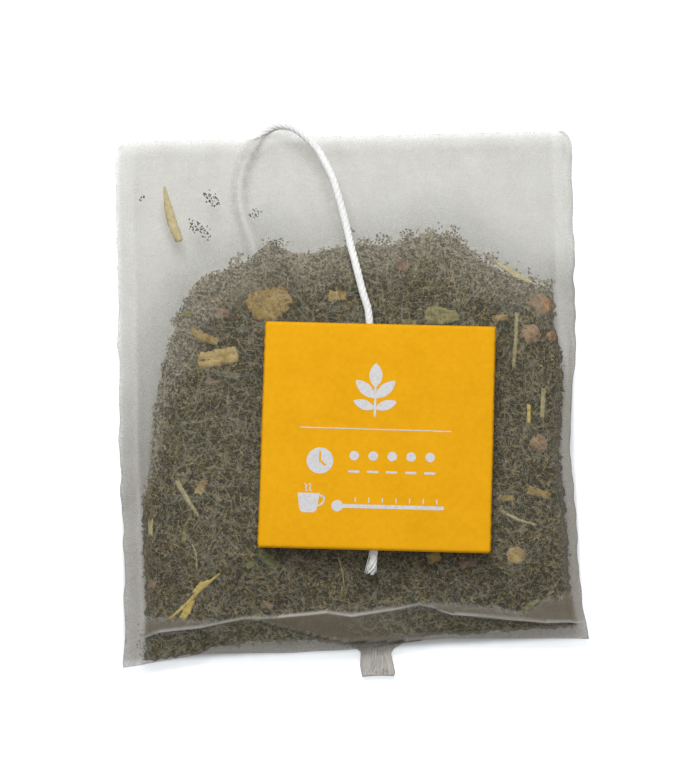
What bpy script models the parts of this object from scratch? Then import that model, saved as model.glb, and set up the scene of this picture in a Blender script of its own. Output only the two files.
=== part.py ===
"""Flat tea bag with thread and tag, in metres with +Z up.

The bag lies on its back on the plane z = 0, its closed top edge towards +Y and its bottom panel
towards -Y. One strip of see-through film is folded into the bag and welded down both sides and along
the top. Inside lie the bed of fine tea and the larger stalks, straws, peel and berries, which rest in
the bed against the front film. The thread starts in a small film tab at the bottom edge, runs under
the bag, comes over the top edge and ends below the card tag, which is stuck to it.
"""

import math

import bmesh
import bpy
from mathutils import Matrix, Vector

MM = 0.001

# Bag. The width is the nominal one, which the side edges wander about, and the length is measured
# down the left edge, from the top edge to the back fold.
BAG_WIDTH = 60.0 * MM
BAG_LENGTH = 70.8 * MM
FILM = 0.25 * MM
SIDE_WELD = 2.3 * MM
TOP_WELD = 1.4 * MM
BOTTOM_WELD = 0.8 * MM
WELD_THICKNESS = 0.8 * MM
MOUTH_SLIT_WIDTH = 12.0 * MM
MOUTH_SLIT_HEIGHT = 0.24 * MM
CLEARANCE = 0.3 * MM

# How far the front film stands above the welds: over air alone, and more where tea fills the bag.
AIR_RISE = 1.6 * MM
TEA_RISE = 2.6 * MM
FOLD_SHARE = 0.42
AIR_RAMP = 7.0 * MM
TEA_RAMP = 12.0 * MM
TEA_LEAD = 3.5 * MM
FOLD_RAMP = 10.0 * MM
SAG_RAMP = 6.0 * MM
SIDE_POWER = 5.0
SIDE_ROOT = 0.6
BED_LEAST = 0.12 * MM

# Thread, tab and tag.
THREAD_DIAMETER = 1.0 * MM
THREAD_RADIUS = THREAD_DIAMETER / 2
FLOOR_GAP = 0.05 * MM
THREAD_SLACK = 0.8 * MM
APEX_SPREAD = 1.7
THREAD_STEP = 2.3 * MM
CHANNEL_STEP = 4.0 * MM
TAG_SIDE = 30.0 * MM
TAG_THICKNESS = 0.3 * MM
TAG_TURN = -2.9
TAB_THICKNESS = 0.4 * MM
TAB_REACH = 3.8 * MM
TAB_LAP = 1.2 * MM
TAB_WIDTH = 4.4 * MM
WORN_SHARE = 0.2

# Heights of the weld band: its underside clears the thread that runs beneath it.
WELD_UNDER = 2 * FLOOR_GAP + THREAD_DIAMETER + CLEARANCE
WELD_TOP = WELD_UNDER + WELD_THICKNESS
THREAD_LOW = FLOOR_GAP + THREAD_RADIUS

HALF_WIDTH = BAG_WIDTH / 2
HALF_LENGTH = BAG_LENGTH / 2
INNER_HALF = HALF_WIDTH - SIDE_WELD
TOP_EDGE = HALF_LENGTH

# Grid of the film: columns from the middle to a side weld, rows of the panel and of the front.
SIDE_COLUMNS = 13
COLUMN_CROWDING = 1.35
PANEL_ROWS = 2
FRONT_ROWS = 26
BED_ROWS = 22
STEM_SIDES = 10
BERRY_SIDES = 16
PEEL_SIDES = 6
SLOT_REACH = 3.0 * MM

# Lines across the bag. Each point is (x over half the width, y over half the length).
TEA_LINE = (
    (-1.0, -0.42), (-0.92, -0.36), (-0.873, -0.271), (-0.847, -0.008), (-0.777, 0.257),
    (-0.71, 0.41), (-0.643, 0.486), (-0.423, 0.556), (-0.343, 0.624), (-0.203, 0.571),
    (0.02, 0.605), (0.193, 0.602), (0.283, 0.627), (0.46, 0.636), (0.523, 0.582),
    (0.587, 0.537), (0.76, 0.455), (0.87, 0.432), (0.92, 0.40), (1.0, 0.37),
)
FRONT_FOLD = (
    (-1.0, -0.907), (-0.849, -0.877), (-0.664, -0.866), (-0.478, -0.836), (-0.327, -0.836),
    (-0.116, -0.821), (-0.014, -0.838), (0.064, -0.829), (0.198, -0.813), (0.271, -0.8),
    (0.353, -0.818), (0.421, -0.841), (0.519, -0.849), (0.665, -0.863), (0.819, -0.876),
    (1.0, -0.871),
)
BACK_FOLD = (
    (-1.0, -1.0), (-0.906, -0.991), (-0.66, -0.956), (-0.28, -0.96), (-0.026, -0.954),
    (0.099, -0.945), (0.194, -0.934), (0.289, -0.925), (0.389, -0.921), (1.0, -0.934),
)

# Side edges, which the tea draws in. Each point is (y over half the length, x over half the width).
LEFT_EDGE = (
    (-1.0, -1.006), (-0.9, -0.992), (-0.8, -0.989), (-0.64, -0.994), (-0.42, -0.998),
    (-0.24, -1.007), (-0.1, -1.01), (0.08, -1.006), (0.22, -1.012), (0.4, -1.005),
    (0.54, -1.011), (0.75, -1.017), (0.95, -1.01), (0.985, -0.995), (1.0, -0.965),
)
RIGHT_EDGE = (
    (-0.94, 1.004), (-0.82, 0.988), (-0.72, 0.978), (-0.55, 0.973), (-0.42, 0.968),
    (-0.32, 0.959), (-0.25, 0.953), (-0.19, 0.957), (-0.1, 0.964), (0.04, 0.98),
    (0.13, 0.991), (0.24, 0.998), (0.4, 0.998), (0.6, 1.005), (0.96, 1.003),
    (0.985, 0.995), (1.0, 0.975),
)

# Thread route in the same fractions: under the bag from the tab, then down the front.
TAB_CENTRE = 0.098
REAR_ROUTE = (
    (-0.05, -0.4), (-0.25, 0.1), (-0.41, 0.59), (-0.427, 0.638), (-0.457, 0.712),
    (-0.47, 0.791), (-0.46, 0.867), (-0.43, 0.938), (-0.387, 0.985),
)
APEX_X = -0.287
FRONT_ROUTE = (
    (-0.147, 0.972), (-0.11, 0.927), (-0.06, 0.836), (-0.027, 0.743), (-0.003, 0.65),
    (0.023, 0.545), (0.047, 0.438), (0.077, 0.331), (0.097, 0.249), (0.1, 0.0),
    (0.098, -0.3), (0.093, -0.605), (0.073, -0.698),
)
TAG_CENTRE = (0.118, -0.198)
SLIT_CENTRE = 0.35

# Larger pieces of the fill. Round stems: start, end, radius at each, in fractions and metres.
STEMS = (
    ("straw_lower", (-0.797, -0.826), (-0.572, -0.674), 0.33 * MM, 0.22 * MM, "yellow_straw"),
    ("stem_left", (-0.756, -0.324), (-0.66, -0.466), 0.38 * MM, 0.25 * MM, "dry_stem"),
    ("stem_right", (0.739, 0.282), (0.716, 0.065), 0.3 * MM, 0.25 * MM, "dry_stem"),
    ("stalk_inner", (0.779, -0.067), (0.776, -0.142), 0.3 * MM, 0.26 * MM, "yellow_straw"),
    ("stalk_outer", (0.846, -0.003), (0.834, -0.12), 0.35 * MM, 0.3 * MM, "dry_stem"),
    ("straw_thin", (0.642, -0.471), (0.797, -0.522), 0.24 * MM, 0.2 * MM, "dry_stem"),
    ("stem_green", (0.721, -0.835), (0.805, -0.79), 0.4 * MM, 0.3 * MM, "green_leaf"),
)
# Flat blades: start, end, width at each, thickness.
BLADES = (
    ("straw_upper", (-0.791, 0.799), (-0.732, 0.6), 0.5 * MM, 1.5 * MM, 0.4 * MM, "yellow_straw"),
    ("straw_split", (-0.745, -0.84), (-0.68, -0.79), 0.8 * MM, 0.6 * MM, 0.4 * MM, "yellow_straw"),
    ("leaf_bit", (-0.662, -0.378), (-0.631, -0.33), 1.2 * MM, 1.0 * MM, 0.35 * MM, "dry_peel"),
    ("chip_pale", (-0.872, -0.461), (-0.873, -0.521), 0.7 * MM, 0.7 * MM, 0.4 * MM, "dry_stem"),
    ("leaf_olive", (-0.716, -0.49), (-0.73, -0.567), 0.8 * MM, 0.6 * MM, 0.3 * MM, "green_leaf"),
    ("strip_left", (-0.683, 0.24), (-0.562, 0.19), 1.2 * MM, 1.2 * MM, 0.5 * MM, "dry_peel"),
    ("strip_middle", (-0.083, 0.353), (0.0, 0.351), 1.6 * MM, 1.2 * MM, 0.5 * MM, "dry_peel"),
    ("strip_upper", (0.63, 0.254), (0.7, 0.26), 1.0 * MM, 0.9 * MM, 0.4 * MM, "dry_peel"),
    ("sliver_upper", (0.664, 0.48), (0.79, 0.4), 0.6 * MM, 0.5 * MM, 0.4 * MM, "yellow_straw"),
    ("strip_lower", (0.763, -0.39), (0.862, -0.411), 1.3 * MM, 1.0 * MM, 0.5 * MM, "dry_peel"),
    ("strip_small", (0.628, -0.422), (0.706, -0.423), 0.9 * MM, 0.8 * MM, 0.4 * MM, "dry_peel"),
    ("leaf_green", (-0.403, -0.604), (-0.318, -0.665), 1.6 * MM, 1.2 * MM, 0.3 * MM, "green_leaf"),
)
# Dried berries and the seed disc: centre, the two radii in plan, half the height.
BERRIES = (
    ("berry_upper", (0.832, 0.31), 1.55 * MM, 1.45 * MM, 0.7 * MM, "berry_skin"),
    ("berry_middle", (0.795, 0.2), 1.15 * MM, 1.25 * MM, 0.7 * MM, "berry_skin"),
    ("berry_small", (0.885, 0.194), 0.65 * MM, 0.7 * MM, 0.4 * MM, "berry_skin"),
    ("berry_lower", (0.812, -0.21), 1.15 * MM, 1.1 * MM, 0.7 * MM, "berry_skin"),
    ("seed_disc", (0.701, -0.633), 1.2 * MM, 1.2 * MM, 0.35 * MM, "dry_peel"),
)
# Ribbed stalk: three ribs side by side. Peel chunk: a bent six-sided scrap.
RIBBED_START = (-0.659, 0.123)
RIBBED_END = (-0.484, 0.143)
RIB_RADIUS = 0.52 * MM
RIB_PITCH = 0.82 * MM
PEEL_CENTRE = (-0.345, 0.345)
PEEL_RADIUS = 2.8 * MM
PEEL_TAPER = 0.88
PEEL_THICKNESS = 1.1 * MM

COLOURS = {
    "film": (0.80, 0.80, 0.78, 1.0),
    "tea": (0.10, 0.09, 0.06, 1.0),
    "thread_white": (0.90, 0.90, 0.88, 1.0),
    "card": (0.86, 0.40, 0.02, 1.0),
    "tab_film": (0.62, 0.61, 0.57, 1.0),
    "yellow_straw": (0.52, 0.42, 0.13, 1.0),
    "dry_stem": (0.46, 0.42, 0.28, 1.0),
    "dry_peel": (0.42, 0.26, 0.09, 1.0),
    "green_leaf": (0.17, 0.21, 0.06, 1.0),
    "berry_skin": (0.40, 0.20, 0.10, 1.0),
}


def clear_scene():
    for old in list(bpy.data.objects):
        bpy.data.objects.remove(old, do_unlink=True)


def smooth(t):
    t = min(max(t, 0.0), 1.0)
    return t * t * (3 - 2 * t)


def along(line, u):
    """The second value of a line of points, where its first value is u."""
    u = min(max(u, line[0][0]), line[-1][0])
    for (u0, v0), (u1, v1) in zip(line, line[1:]):
        if u <= u1:
            return v0 + (v1 - v0) * (u - u0) / (u1 - u0)
    return line[-1][1]


def across(line, x):
    """The y of a line of fractions, at x in metres."""
    return HALF_LENGTH * along(line, x / HALF_WIDTH)


def place(point):
    return HALF_WIDTH * point[0], HALF_LENGTH * point[1]


def edge_share(x, y):
    """How far out the side edge next to x stands at y, over half the width."""
    return abs(along(RIGHT_EDGE if x > 0 else LEFT_EDGE, y / HALF_LENGTH))


def side_share(x, y):
    """1 in the middle of the bag, 0 at a side weld."""
    u = min(abs(x) / (INNER_HALF * edge_share(x, y)), 1.0)
    return (1 - u**SIDE_POWER) ** SIDE_ROOT


def rise(x, y):
    air = AIR_RISE * smooth((TOP_EDGE - TOP_WELD - y) / AIR_RAMP)
    tea = TEA_RISE * smooth((across(TEA_LINE, x) - y + TEA_LEAD) / TEA_RAMP)
    bottom = FOLD_SHARE + (1 - FOLD_SHARE) * smooth((y - across(FRONT_FOLD, x)) / FOLD_RAMP)
    return side_share(x, y) * (air + tea) * bottom


def front(x, y):
    """Height of the outer face of the front film, or of the bottom panel below the front fold."""
    fold = across(FRONT_FOLD, x)
    if y >= fold:
        return WELD_TOP + rise(x, y)
    edge = across(BACK_FOLD, x)
    share = max((y - edge) / (fold - edge), 0.0)
    return WELD_TOP + rise(x, fold) * share


def under(x, y):
    """Height of the outer face of the back film: flat on the plane where tea weighs it down."""
    from_side = INNER_HALF * edge_share(x, y) - abs(x)
    inward = min(from_side, y - across(BACK_FOLD, x), across(TEA_LINE, x) - y)
    return WELD_UNDER * (1 - smooth(inward / SAG_RAMP))


def material(name):
    found = bpy.data.materials.get(name)
    if found:
        return found
    made = bpy.data.materials.new(name)
    made.use_nodes = True
    shader = made.node_tree.nodes["Principled BSDF"]
    shader.inputs["Base Color"].default_value = COLOURS[name]
    shader.inputs["Roughness"].default_value = 0.7
    made.diffuse_color = COLOURS[name]
    return made


def add_object(name, bm, look=None):
    """A mesh object of this bmesh: a piece with its material, or a cutter when it has none."""
    bmesh.ops.recalc_face_normals(bm, faces=bm.faces[:])
    mesh = bpy.data.meshes.new(name)
    bm.to_mesh(mesh)
    bm.free()
    made = bpy.data.objects.new(name, mesh)
    if look:
        mesh.materials.append(material(look))
        pieces.objects.link(made)
    else:
        cutters.objects.link(made)
        made.hide_render = True
        made.display_type = "WIRE"
    return made


def cut(target, cutter, operation="DIFFERENCE"):
    modifier = target.modifiers.new(operation.lower(), "BOOLEAN")
    modifier.operation = operation
    modifier.solver = "EXACT"
    modifier.object = cutter


def column_stations(skip=0):
    """The x of each grid column between the side welds, crowded towards them."""
    steps = [k / SIDE_COLUMNS for k in range(1, SIDE_COLUMNS + 1 - skip)]
    side = [INNER_HALF * (1 - (1 - t) ** COLUMN_CROWDING) for t in steps]
    return [-x for x in reversed(side)] + [0.0] + side


def evenly(first, last, count):
    return [first + (last - first) * k / count for k in range(count + 1)]


def cushion(name, columns, rows_at, top_at, under_at, look=None):
    """A plate of grid cells with a shaped top and underside. rows_at gives the rows of a column."""
    count = len(rows_at(0.0))
    bm = bmesh.new()
    bmesh.ops.create_grid(bm, x_segments=len(columns) - 1, y_segments=count - 1, size=1)
    spots = {}
    for vertex in bm.verts:
        i = round((vertex.co.x + 1) / 2 * (len(columns) - 1))
        j = round((vertex.co.y + 1) / 2 * (count - 1))
        y = rows_at(columns[i])[j]
        spots[vertex] = (columns[i] * edge_share(columns[i], y), y)
    for vertex, (x, y) in spots.items():
        vertex.co = (x, y, under_at(x, y))
    grown = bmesh.ops.extrude_face_region(bm, geom=bm.faces[:])
    for vertex in grown["geom"]:
        if isinstance(vertex, bmesh.types.BMVert):
            vertex.co.z = top_at(vertex.co.x, vertex.co.y)
    bmesh.ops.triangulate(bm, faces=bm.faces[:])
    return add_object(name, bm, look)


def film_rows(x):
    edge, fold, weld = across(BACK_FOLD, x), across(FRONT_FOLD, x), TOP_EDGE - TOP_WELD
    panel = evenly(edge + BOTTOM_WELD, fold, PANEL_ROWS)
    return [edge] + panel + evenly(fold, weld, FRONT_ROWS)[1:] + [TOP_EDGE]


def cavity_rows(x):
    return film_rows(x)[1:-1]


def bed_rows(x):
    start = across(BACK_FOLD, x) + BOTTOM_WELD + CLEARANCE
    fold = across(FRONT_FOLD, x)
    return evenly(start, fold, PANEL_ROWS) + evenly(fold, across(TEA_LINE, x), BED_ROWS)[1:]


def bed_under(x, y):
    return under(x, y) + FILM + CLEARANCE


def bed_top(x, y):
    return max(front(x, y) - FILM - CLEARANCE, bed_under(x, y) + BED_LEAST)


def box_cutter(name, low, high):
    bm = bmesh.new()
    bmesh.ops.create_cube(bm, size=1)
    low, high = Vector(low), Vector(high)
    size = high - low
    bmesh.ops.scale(bm, vec=size, verts=bm.verts[:])
    bmesh.ops.translate(bm, vec=(low + high) / 2, verts=bm.verts[:])
    return add_object(name, bm)


def smooth_points(route, step):
    """Points about this far apart on a curve through the route's points."""
    points = [Vector(p) for p in route]
    points = [2 * points[0] - points[1]] + points + [2 * points[-1] - points[-2]]
    fine = []
    for a, b, c, d in zip(points, points[1:], points[2:], points[3:]):
        count = max(2, math.ceil((c - b).length / (0.1 * step)))
        for k in range(count):
            t = k / count
            turn = (c - a) * t + (2 * a - 5 * b + 4 * c - d) * t**2 + (3 * b - a - 3 * c + d) * t**3
            fine.append(b + turn / 2)
    fine.append(points[-2])
    kept = [fine[0]]
    for point in fine[1:-1]:
        if (point - kept[-1]).length >= step:
            kept.append(point)
    if (fine[-1] - kept[-1]).length < 0.5 * step:
        kept.pop()
    return kept + [fine[-1]]


def tube(name, points, radius):
    """A round tube through the points, as a curve object with closed ends."""
    curve = bpy.data.curves.new(name, "CURVE")
    curve.dimensions = "3D"
    curve.bevel_depth = radius
    curve.bevel_resolution = 2
    curve.use_fill_caps = True
    spline = curve.splines.new("POLY")
    spline.points.add(len(points) - 1)
    for spot, point in zip(spline.points, points):
        spot.co = (*point, 1.0)
    return bpy.data.objects.new(name, curve)


def channel(name, radius):
    """The room that the thread needs under the bag, as a cutter of this radius."""
    start = Vector((HALF_WIDTH * TAB_CENTRE, -BAG_LENGTH, THREAD_LOW))
    route = [start] + [Vector((*place(p), THREAD_LOW)) for p in ((TAB_CENTRE, -1.0),) + REAR_ROUTE]
    end = Vector((route[-1].x, BAG_LENGTH, THREAD_LOW))
    guide = tube(name + "_guide", smooth_points(route + [end], CHANNEL_STEP), radius)
    cutters.objects.link(guide)
    bpy.context.view_layer.update()
    graph = bpy.context.evaluated_depsgraph_get()
    mesh = bpy.data.meshes.new_from_object(guide.evaluated_get(graph))
    bpy.data.objects.remove(guide, do_unlink=True)
    bm = bmesh.new()
    bm.from_mesh(mesh)
    bpy.data.meshes.remove(mesh)
    bmesh.ops.remove_doubles(bm, verts=bm.verts[:], dist=1e-6)
    bmesh.ops.triangulate(bm, faces=bm.faces[:])
    return add_object(name, bm)


def seat(point, half_height, spread=0.0, rim=None):
    """Centre of a piece that lies against the front film, with the clearance under it. spread is how
    far it reaches sideways, and rim half its height out there, where a berry has none."""
    x, y = place(point)
    ring = ((x - spread, y), (x + spread, y), (x, y - spread), (x, y + spread))
    out_there = min(front(*spot) for spot in ring) - (half_height if rim is None else rim)
    level = min(front(x, y) - half_height, out_there)
    return Vector((x, y, level - FILM - CLEARANCE))


def aim(start, end):
    """A turn that takes +X to the way from start to end and keeps +Z upward."""
    along = (end - start).normalized()
    side = Vector((0, 0, 1)).cross(along).normalized()
    return Matrix((along, side, along.cross(side))).transposed().to_4x4()


def long_box(a, b, first, last, low, high):
    """A tapered box from a to b: its width at each end, and how far it reaches down and up."""
    length = (b - a).length
    bm = bmesh.new()
    bmesh.ops.create_cube(bm, size=1)
    for vertex in bm.verts:
        width = first if vertex.co.x < 0 else last
        vertex.co.z = high if vertex.co.z > 0 else -low
        vertex.co.y *= width
        vertex.co.x *= length
    turn = Matrix.Translation((a + b) / 2) @ aim(a, b)
    bmesh.ops.transform(bm, matrix=turn, verts=bm.verts[:])
    return bm


def slot(name, a, b, first, last, low):
    """The open-topped hollow that a long piece from a to b lies in, as a cutter for the bed."""
    more = CLEARANCE * (b - a).normalized()
    room = 2 * CLEARANCE
    bm = long_box(a - more, b + more, first + room, last + room, low + CLEARANCE, SLOT_REACH)
    return add_object(name + "_slot", bm)


def stem(name, start, end, first, last, look):
    """A round stem between two seats, and its slot."""
    a, b = seat(start, first), seat(end, last)
    bm = bmesh.new()
    bmesh.ops.create_cone(
        bm, cap_ends=True, segments=STEM_SIDES, radius1=first, radius2=last, depth=(b - a).length
    )
    turn = Matrix.Translation((a + b) / 2) @ aim(a, b) @ Matrix.Rotation(math.pi / 2, 4, "Y")
    bmesh.ops.transform(bm, matrix=turn, verts=bm.verts[:])
    add_object(name, bm, look)
    return slot(name, a, b, 2 * first, 2 * last, max(first, last))


def blade(name, start, end, first, last, thickness, look):
    """A flat tapered scrap between two seats, and its slot."""
    a, b = seat(start, thickness / 2, first / 2), seat(end, thickness / 2, last / 2)
    bm = long_box(a, b, first, last, thickness / 2, thickness / 2)
    made = add_object(name, bm, look)
    soften = made.modifiers.new("worn edges", "BEVEL")
    soften.width = WORN_SHARE * thickness
    soften.segments = 2
    return slot(name, a, b, first, last, thickness / 2)


def berry(name, centre, wide, deep, half_height, look):
    """A flattened ball against the film, and the open-topped hollow that it lies in."""
    seated = seat(centre, half_height, max(wide, deep), rim=0.0)
    bm = bmesh.new()
    bmesh.ops.create_uvsphere(bm, u_segments=BERRY_SIDES, v_segments=BERRY_SIDES // 2, radius=1)
    bmesh.ops.scale(bm, vec=Vector((wide, deep, half_height)), verts=bm.verts[:])
    bmesh.ops.translate(bm, vec=seated, verts=bm.verts[:])
    add_object(name, bm, look)
    return hollow(name, seated, wide, deep, half_height, BERRY_SIDES)


def hollow(name, centre, wide, deep, low, sides):
    """A round open-topped hollow in the bed, as a cutter."""
    height = low + CLEARANCE + SLOT_REACH
    bm = bmesh.new()
    bmesh.ops.create_cone(bm, cap_ends=True, segments=sides, radius1=1, radius2=1, depth=height)
    size = Vector((wide + CLEARANCE, deep + CLEARANCE, 1))
    bmesh.ops.scale(bm, vec=size, verts=bm.verts[:])
    lift = Vector((0, 0, SLOT_REACH - height / 2))
    bmesh.ops.translate(bm, vec=centre + lift, verts=bm.verts[:])
    return add_object(name + "_hollow", bm)


def ribbed_stalk():
    """Three ribs that run into each other, joined to one piece, and their slot."""
    half_span = RIB_PITCH + RIB_RADIUS
    a, b = seat(RIBBED_START, RIB_RADIUS, half_span), seat(RIBBED_END, RIB_RADIUS, half_span)
    across_way = aim(a, b) @ Vector((0, RIB_PITCH, 0))
    ribs = []
    for k in (0, -1, 1):
        bm = bmesh.new()
        bmesh.ops.create_cone(
            bm, cap_ends=True, segments=STEM_SIDES, radius1=RIB_RADIUS, radius2=RIB_RADIUS,
            depth=(b - a).length,
        )
        middle = (a + b) / 2 + k * across_way
        turn = Matrix.Translation(middle) @ aim(a, b) @ Matrix.Rotation(math.pi / 2, 4, "Y")
        bmesh.ops.transform(bm, matrix=turn, verts=bm.verts[:])
        name, look = (f"rib_{k}", None) if k else ("ribbed_stalk", "dry_peel")
        ribs.append(add_object(name, bm, look))
    for rib in ribs[1:]:
        cut(ribs[0], rib, "UNION")
    return slot("ribbed_stalk", a, b, 2 * half_span, 2 * half_span, RIB_RADIUS)


def peel_chunk(name, look):
    """A six-sided scrap of peel, and the hollow that it lies in."""
    seated = seat(PEEL_CENTRE, PEEL_THICKNESS / 2, PEEL_RADIUS)
    bm = bmesh.new()
    bmesh.ops.create_cone(
        bm, cap_ends=True, segments=PEEL_SIDES, radius1=PEEL_RADIUS,
        radius2=PEEL_TAPER * PEEL_RADIUS, depth=PEEL_THICKNESS,
    )
    bmesh.ops.translate(bm, vec=seated, verts=bm.verts[:])
    made = add_object(name, bm, look)
    soften = made.modifiers.new("worn edges", "BEVEL")
    soften.width = WORN_SHARE * PEEL_THICKNESS
    soften.segments = 2
    return hollow(name, seated, PEEL_RADIUS, PEEL_RADIUS, PEEL_THICKNESS / 2, PEEL_SIDES)


def thread_points():
    """The thread from the tab to its bare end below the tag."""
    over = TOP_EDGE + THREAD_SLACK
    tab_edge = across(BACK_FOLD, HALF_WIDTH * TAB_CENTRE) + TAB_LAP + CLEARANCE
    route = [Vector((HALF_WIDTH * TAB_CENTRE, tab_edge, THREAD_LOW))]
    route += [Vector((*place(p), THREAD_LOW)) for p in REAR_ROUTE]
    apex_x = HALF_WIDTH * APEX_X
    high = WELD_TOP + CLEARANCE + THREAD_RADIUS
    middle = (THREAD_LOW + high) / 2
    turn_radius = CLEARANCE + 2 * THREAD_RADIUS
    route.append(Vector((apex_x - APEX_SPREAD * turn_radius, over, THREAD_LOW + FLOOR_GAP)))
    route.append(Vector((apex_x, over + THREAD_RADIUS + CLEARANCE, middle)))
    route.append(Vector((apex_x + APEX_SPREAD * turn_radius, over, high)))
    for point in FRONT_ROUTE:
        x, y = place(point)
        route.append(Vector((x, y, front(x, y) + CLEARANCE + THREAD_RADIUS)))
    return smooth_points(route, THREAD_STEP)


def make_thread():
    points = thread_points()
    thread = tube("thread", points, THREAD_RADIUS)
    thread.data.materials.append(material("thread_white"))
    pieces.objects.link(thread)
    return points


def make_tag(points):
    """The square card, level on the part of the thread that runs beneath it."""
    x, y = place(TAG_CENTRE)
    beneath = [p.z for p in points if abs(p.y - y) < TAG_SIDE / 2 + THREAD_STEP and p.z > WELD_TOP]
    low = max(beneath) + THREAD_RADIUS + CLEARANCE
    bm = bmesh.new()
    bmesh.ops.create_cube(bm, size=1)
    bmesh.ops.scale(bm, vec=Vector((TAG_SIDE, TAG_SIDE, TAG_THICKNESS)), verts=bm.verts[:])
    turn = Matrix.Rotation(math.radians(TAG_TURN), 4, "Z")
    shift = Matrix.Translation((x, y, low + TAG_THICKNESS / 2))
    bmesh.ops.transform(bm, matrix=shift @ turn, verts=bm.verts[:])
    return add_object("tag", bm, "card")


def make_tab():
    """The film tongue that laps under the bottom edge and holds the fanned thread end."""
    x = HALF_WIDTH * TAB_CENTRE
    edge = across(BACK_FOLD, x)
    low, high = edge - TAB_REACH, edge + TAB_LAP
    bm = bmesh.new()
    bmesh.ops.create_cube(bm, size=1)
    bmesh.ops.scale(bm, vec=Vector((TAB_WIDTH, high - low, TAB_THICKNESS)), verts=bm.verts[:])
    z = THREAD_LOW + CLEARANCE
    bmesh.ops.translate(bm, vec=Vector((x, (low + high) / 2, z)), verts=bm.verts[:])
    made = add_object("thread_tab", bm, "tab_film")
    soften = made.modifiers.new("round corners", "BEVEL")
    soften.width = WORN_SHARE * TAB_THICKNESS
    soften.segments = 2
    return made


clear_scene()
pieces = bpy.data.collections.new("pyramid_tea_bag")
bpy.context.scene.collection.children.link(pieces)
cutters = bpy.data.collections.new("cutters")
bpy.context.scene.collection.children.link(cutters)
cutters.hide_render = True

inner = column_stations()
outer = [-HALF_WIDTH] + inner + [HALF_WIDTH]

film = cushion("film_bag", outer, film_rows, front, under, "film")
cavity = cushion(
    "cavity", inner, cavity_rows, lambda x, y: front(x, y) - FILM, lambda x, y: under(x, y) + FILM
)
cut(cavity, channel("cavity_channel", THREAD_RADIUS + CLEARANCE + FILM))
cut(film, cavity)
cut(film, channel("film_channel", THREAD_RADIUS + CLEARANCE))
slit_x = HALF_WIDTH * SLIT_CENTRE
slit_z = (WELD_TOP + WELD_UNDER) / 2
slit = box_cutter(
    "mouth_slit",
    (slit_x - MOUTH_SLIT_WIDTH / 2, TOP_EDGE - 2 * TOP_WELD, slit_z - MOUTH_SLIT_HEIGHT / 2),
    (slit_x + MOUTH_SLIT_WIDTH / 2, TOP_EDGE + TOP_WELD, slit_z + MOUTH_SLIT_HEIGHT / 2),
)
cut(film, slit)

bed = cushion("tea_bed", column_stations(skip=1), bed_rows, bed_top, bed_under, "tea")
cut(bed, channel("bed_channel", THREAD_RADIUS + 2 * CLEARANCE + FILM))

hollows = [stem(*values) for values in STEMS] + [blade(*values) for values in BLADES]
hollows += [berry(*values) for values in BERRIES]
hollows += [ribbed_stalk(), peel_chunk("peel_chunk", "dry_peel")]
for cutter in hollows:
    if cutter.name != "straw_upper_slot":
        cut(bed, cutter)

route_points = make_thread()
make_tag(route_points)
make_tab()
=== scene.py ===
"""Flat tea bag of see-through film, with its cotton thread and square card tag, on a white table.

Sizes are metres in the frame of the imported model. Lines and places on the bag are written in shares
of half its width and half its length, measured from its middle.
"""

import math
import random

import bmesh
import bpy
import numpy as np
from mathutils import Matrix, Vector


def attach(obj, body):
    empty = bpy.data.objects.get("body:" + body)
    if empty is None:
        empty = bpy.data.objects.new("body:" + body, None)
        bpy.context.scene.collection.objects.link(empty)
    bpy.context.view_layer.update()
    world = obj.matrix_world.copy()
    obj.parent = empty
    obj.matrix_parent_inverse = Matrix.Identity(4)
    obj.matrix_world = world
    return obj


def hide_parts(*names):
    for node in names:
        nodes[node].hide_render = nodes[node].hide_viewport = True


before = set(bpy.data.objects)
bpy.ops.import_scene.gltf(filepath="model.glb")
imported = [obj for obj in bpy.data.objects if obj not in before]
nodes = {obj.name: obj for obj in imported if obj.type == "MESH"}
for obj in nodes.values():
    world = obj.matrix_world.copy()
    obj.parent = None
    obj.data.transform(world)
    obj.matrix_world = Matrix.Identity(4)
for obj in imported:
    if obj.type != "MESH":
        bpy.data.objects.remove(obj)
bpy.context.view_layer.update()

MM = 0.001


# Camera. It looks down on the bag from just below the bottom edge, through a long lens.

camera = bpy.data.objects.new("camera", bpy.data.cameras.new("camera"))
bpy.context.scene.collection.objects.link(camera)
camera.location = Vector((5.04, -130.67, 560.5)) * MM
camera.rotation_euler = (math.radians(13.228), math.radians(0.924), math.radians(-1.202))
camera.data.lens = 202.45
camera.data.sensor_width = 36.0
bpy.context.scene.camera = camera


# Thread. Soft white cotton of five twisted plies. It starts welded into the film tab, runs under the
# bag, comes over the top edge and down the front, and ends in loose fibres below the tag.

PLY_COUNT = 5
PLY_RADIUS = 0.27 * MM
PLY_ORBIT = 0.24 * MM
PLY_PITCH = 4.0 * MM
PLY_SIDES = 10
THREAD_STEP = 0.28 * MM
FRAY_LENGTH = 3.2 * MM
FRAY_FIBRES = 38
FRAY_SPREAD = 0.6 * MM
FRAY_RADIUS = 0.075 * MM

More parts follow.
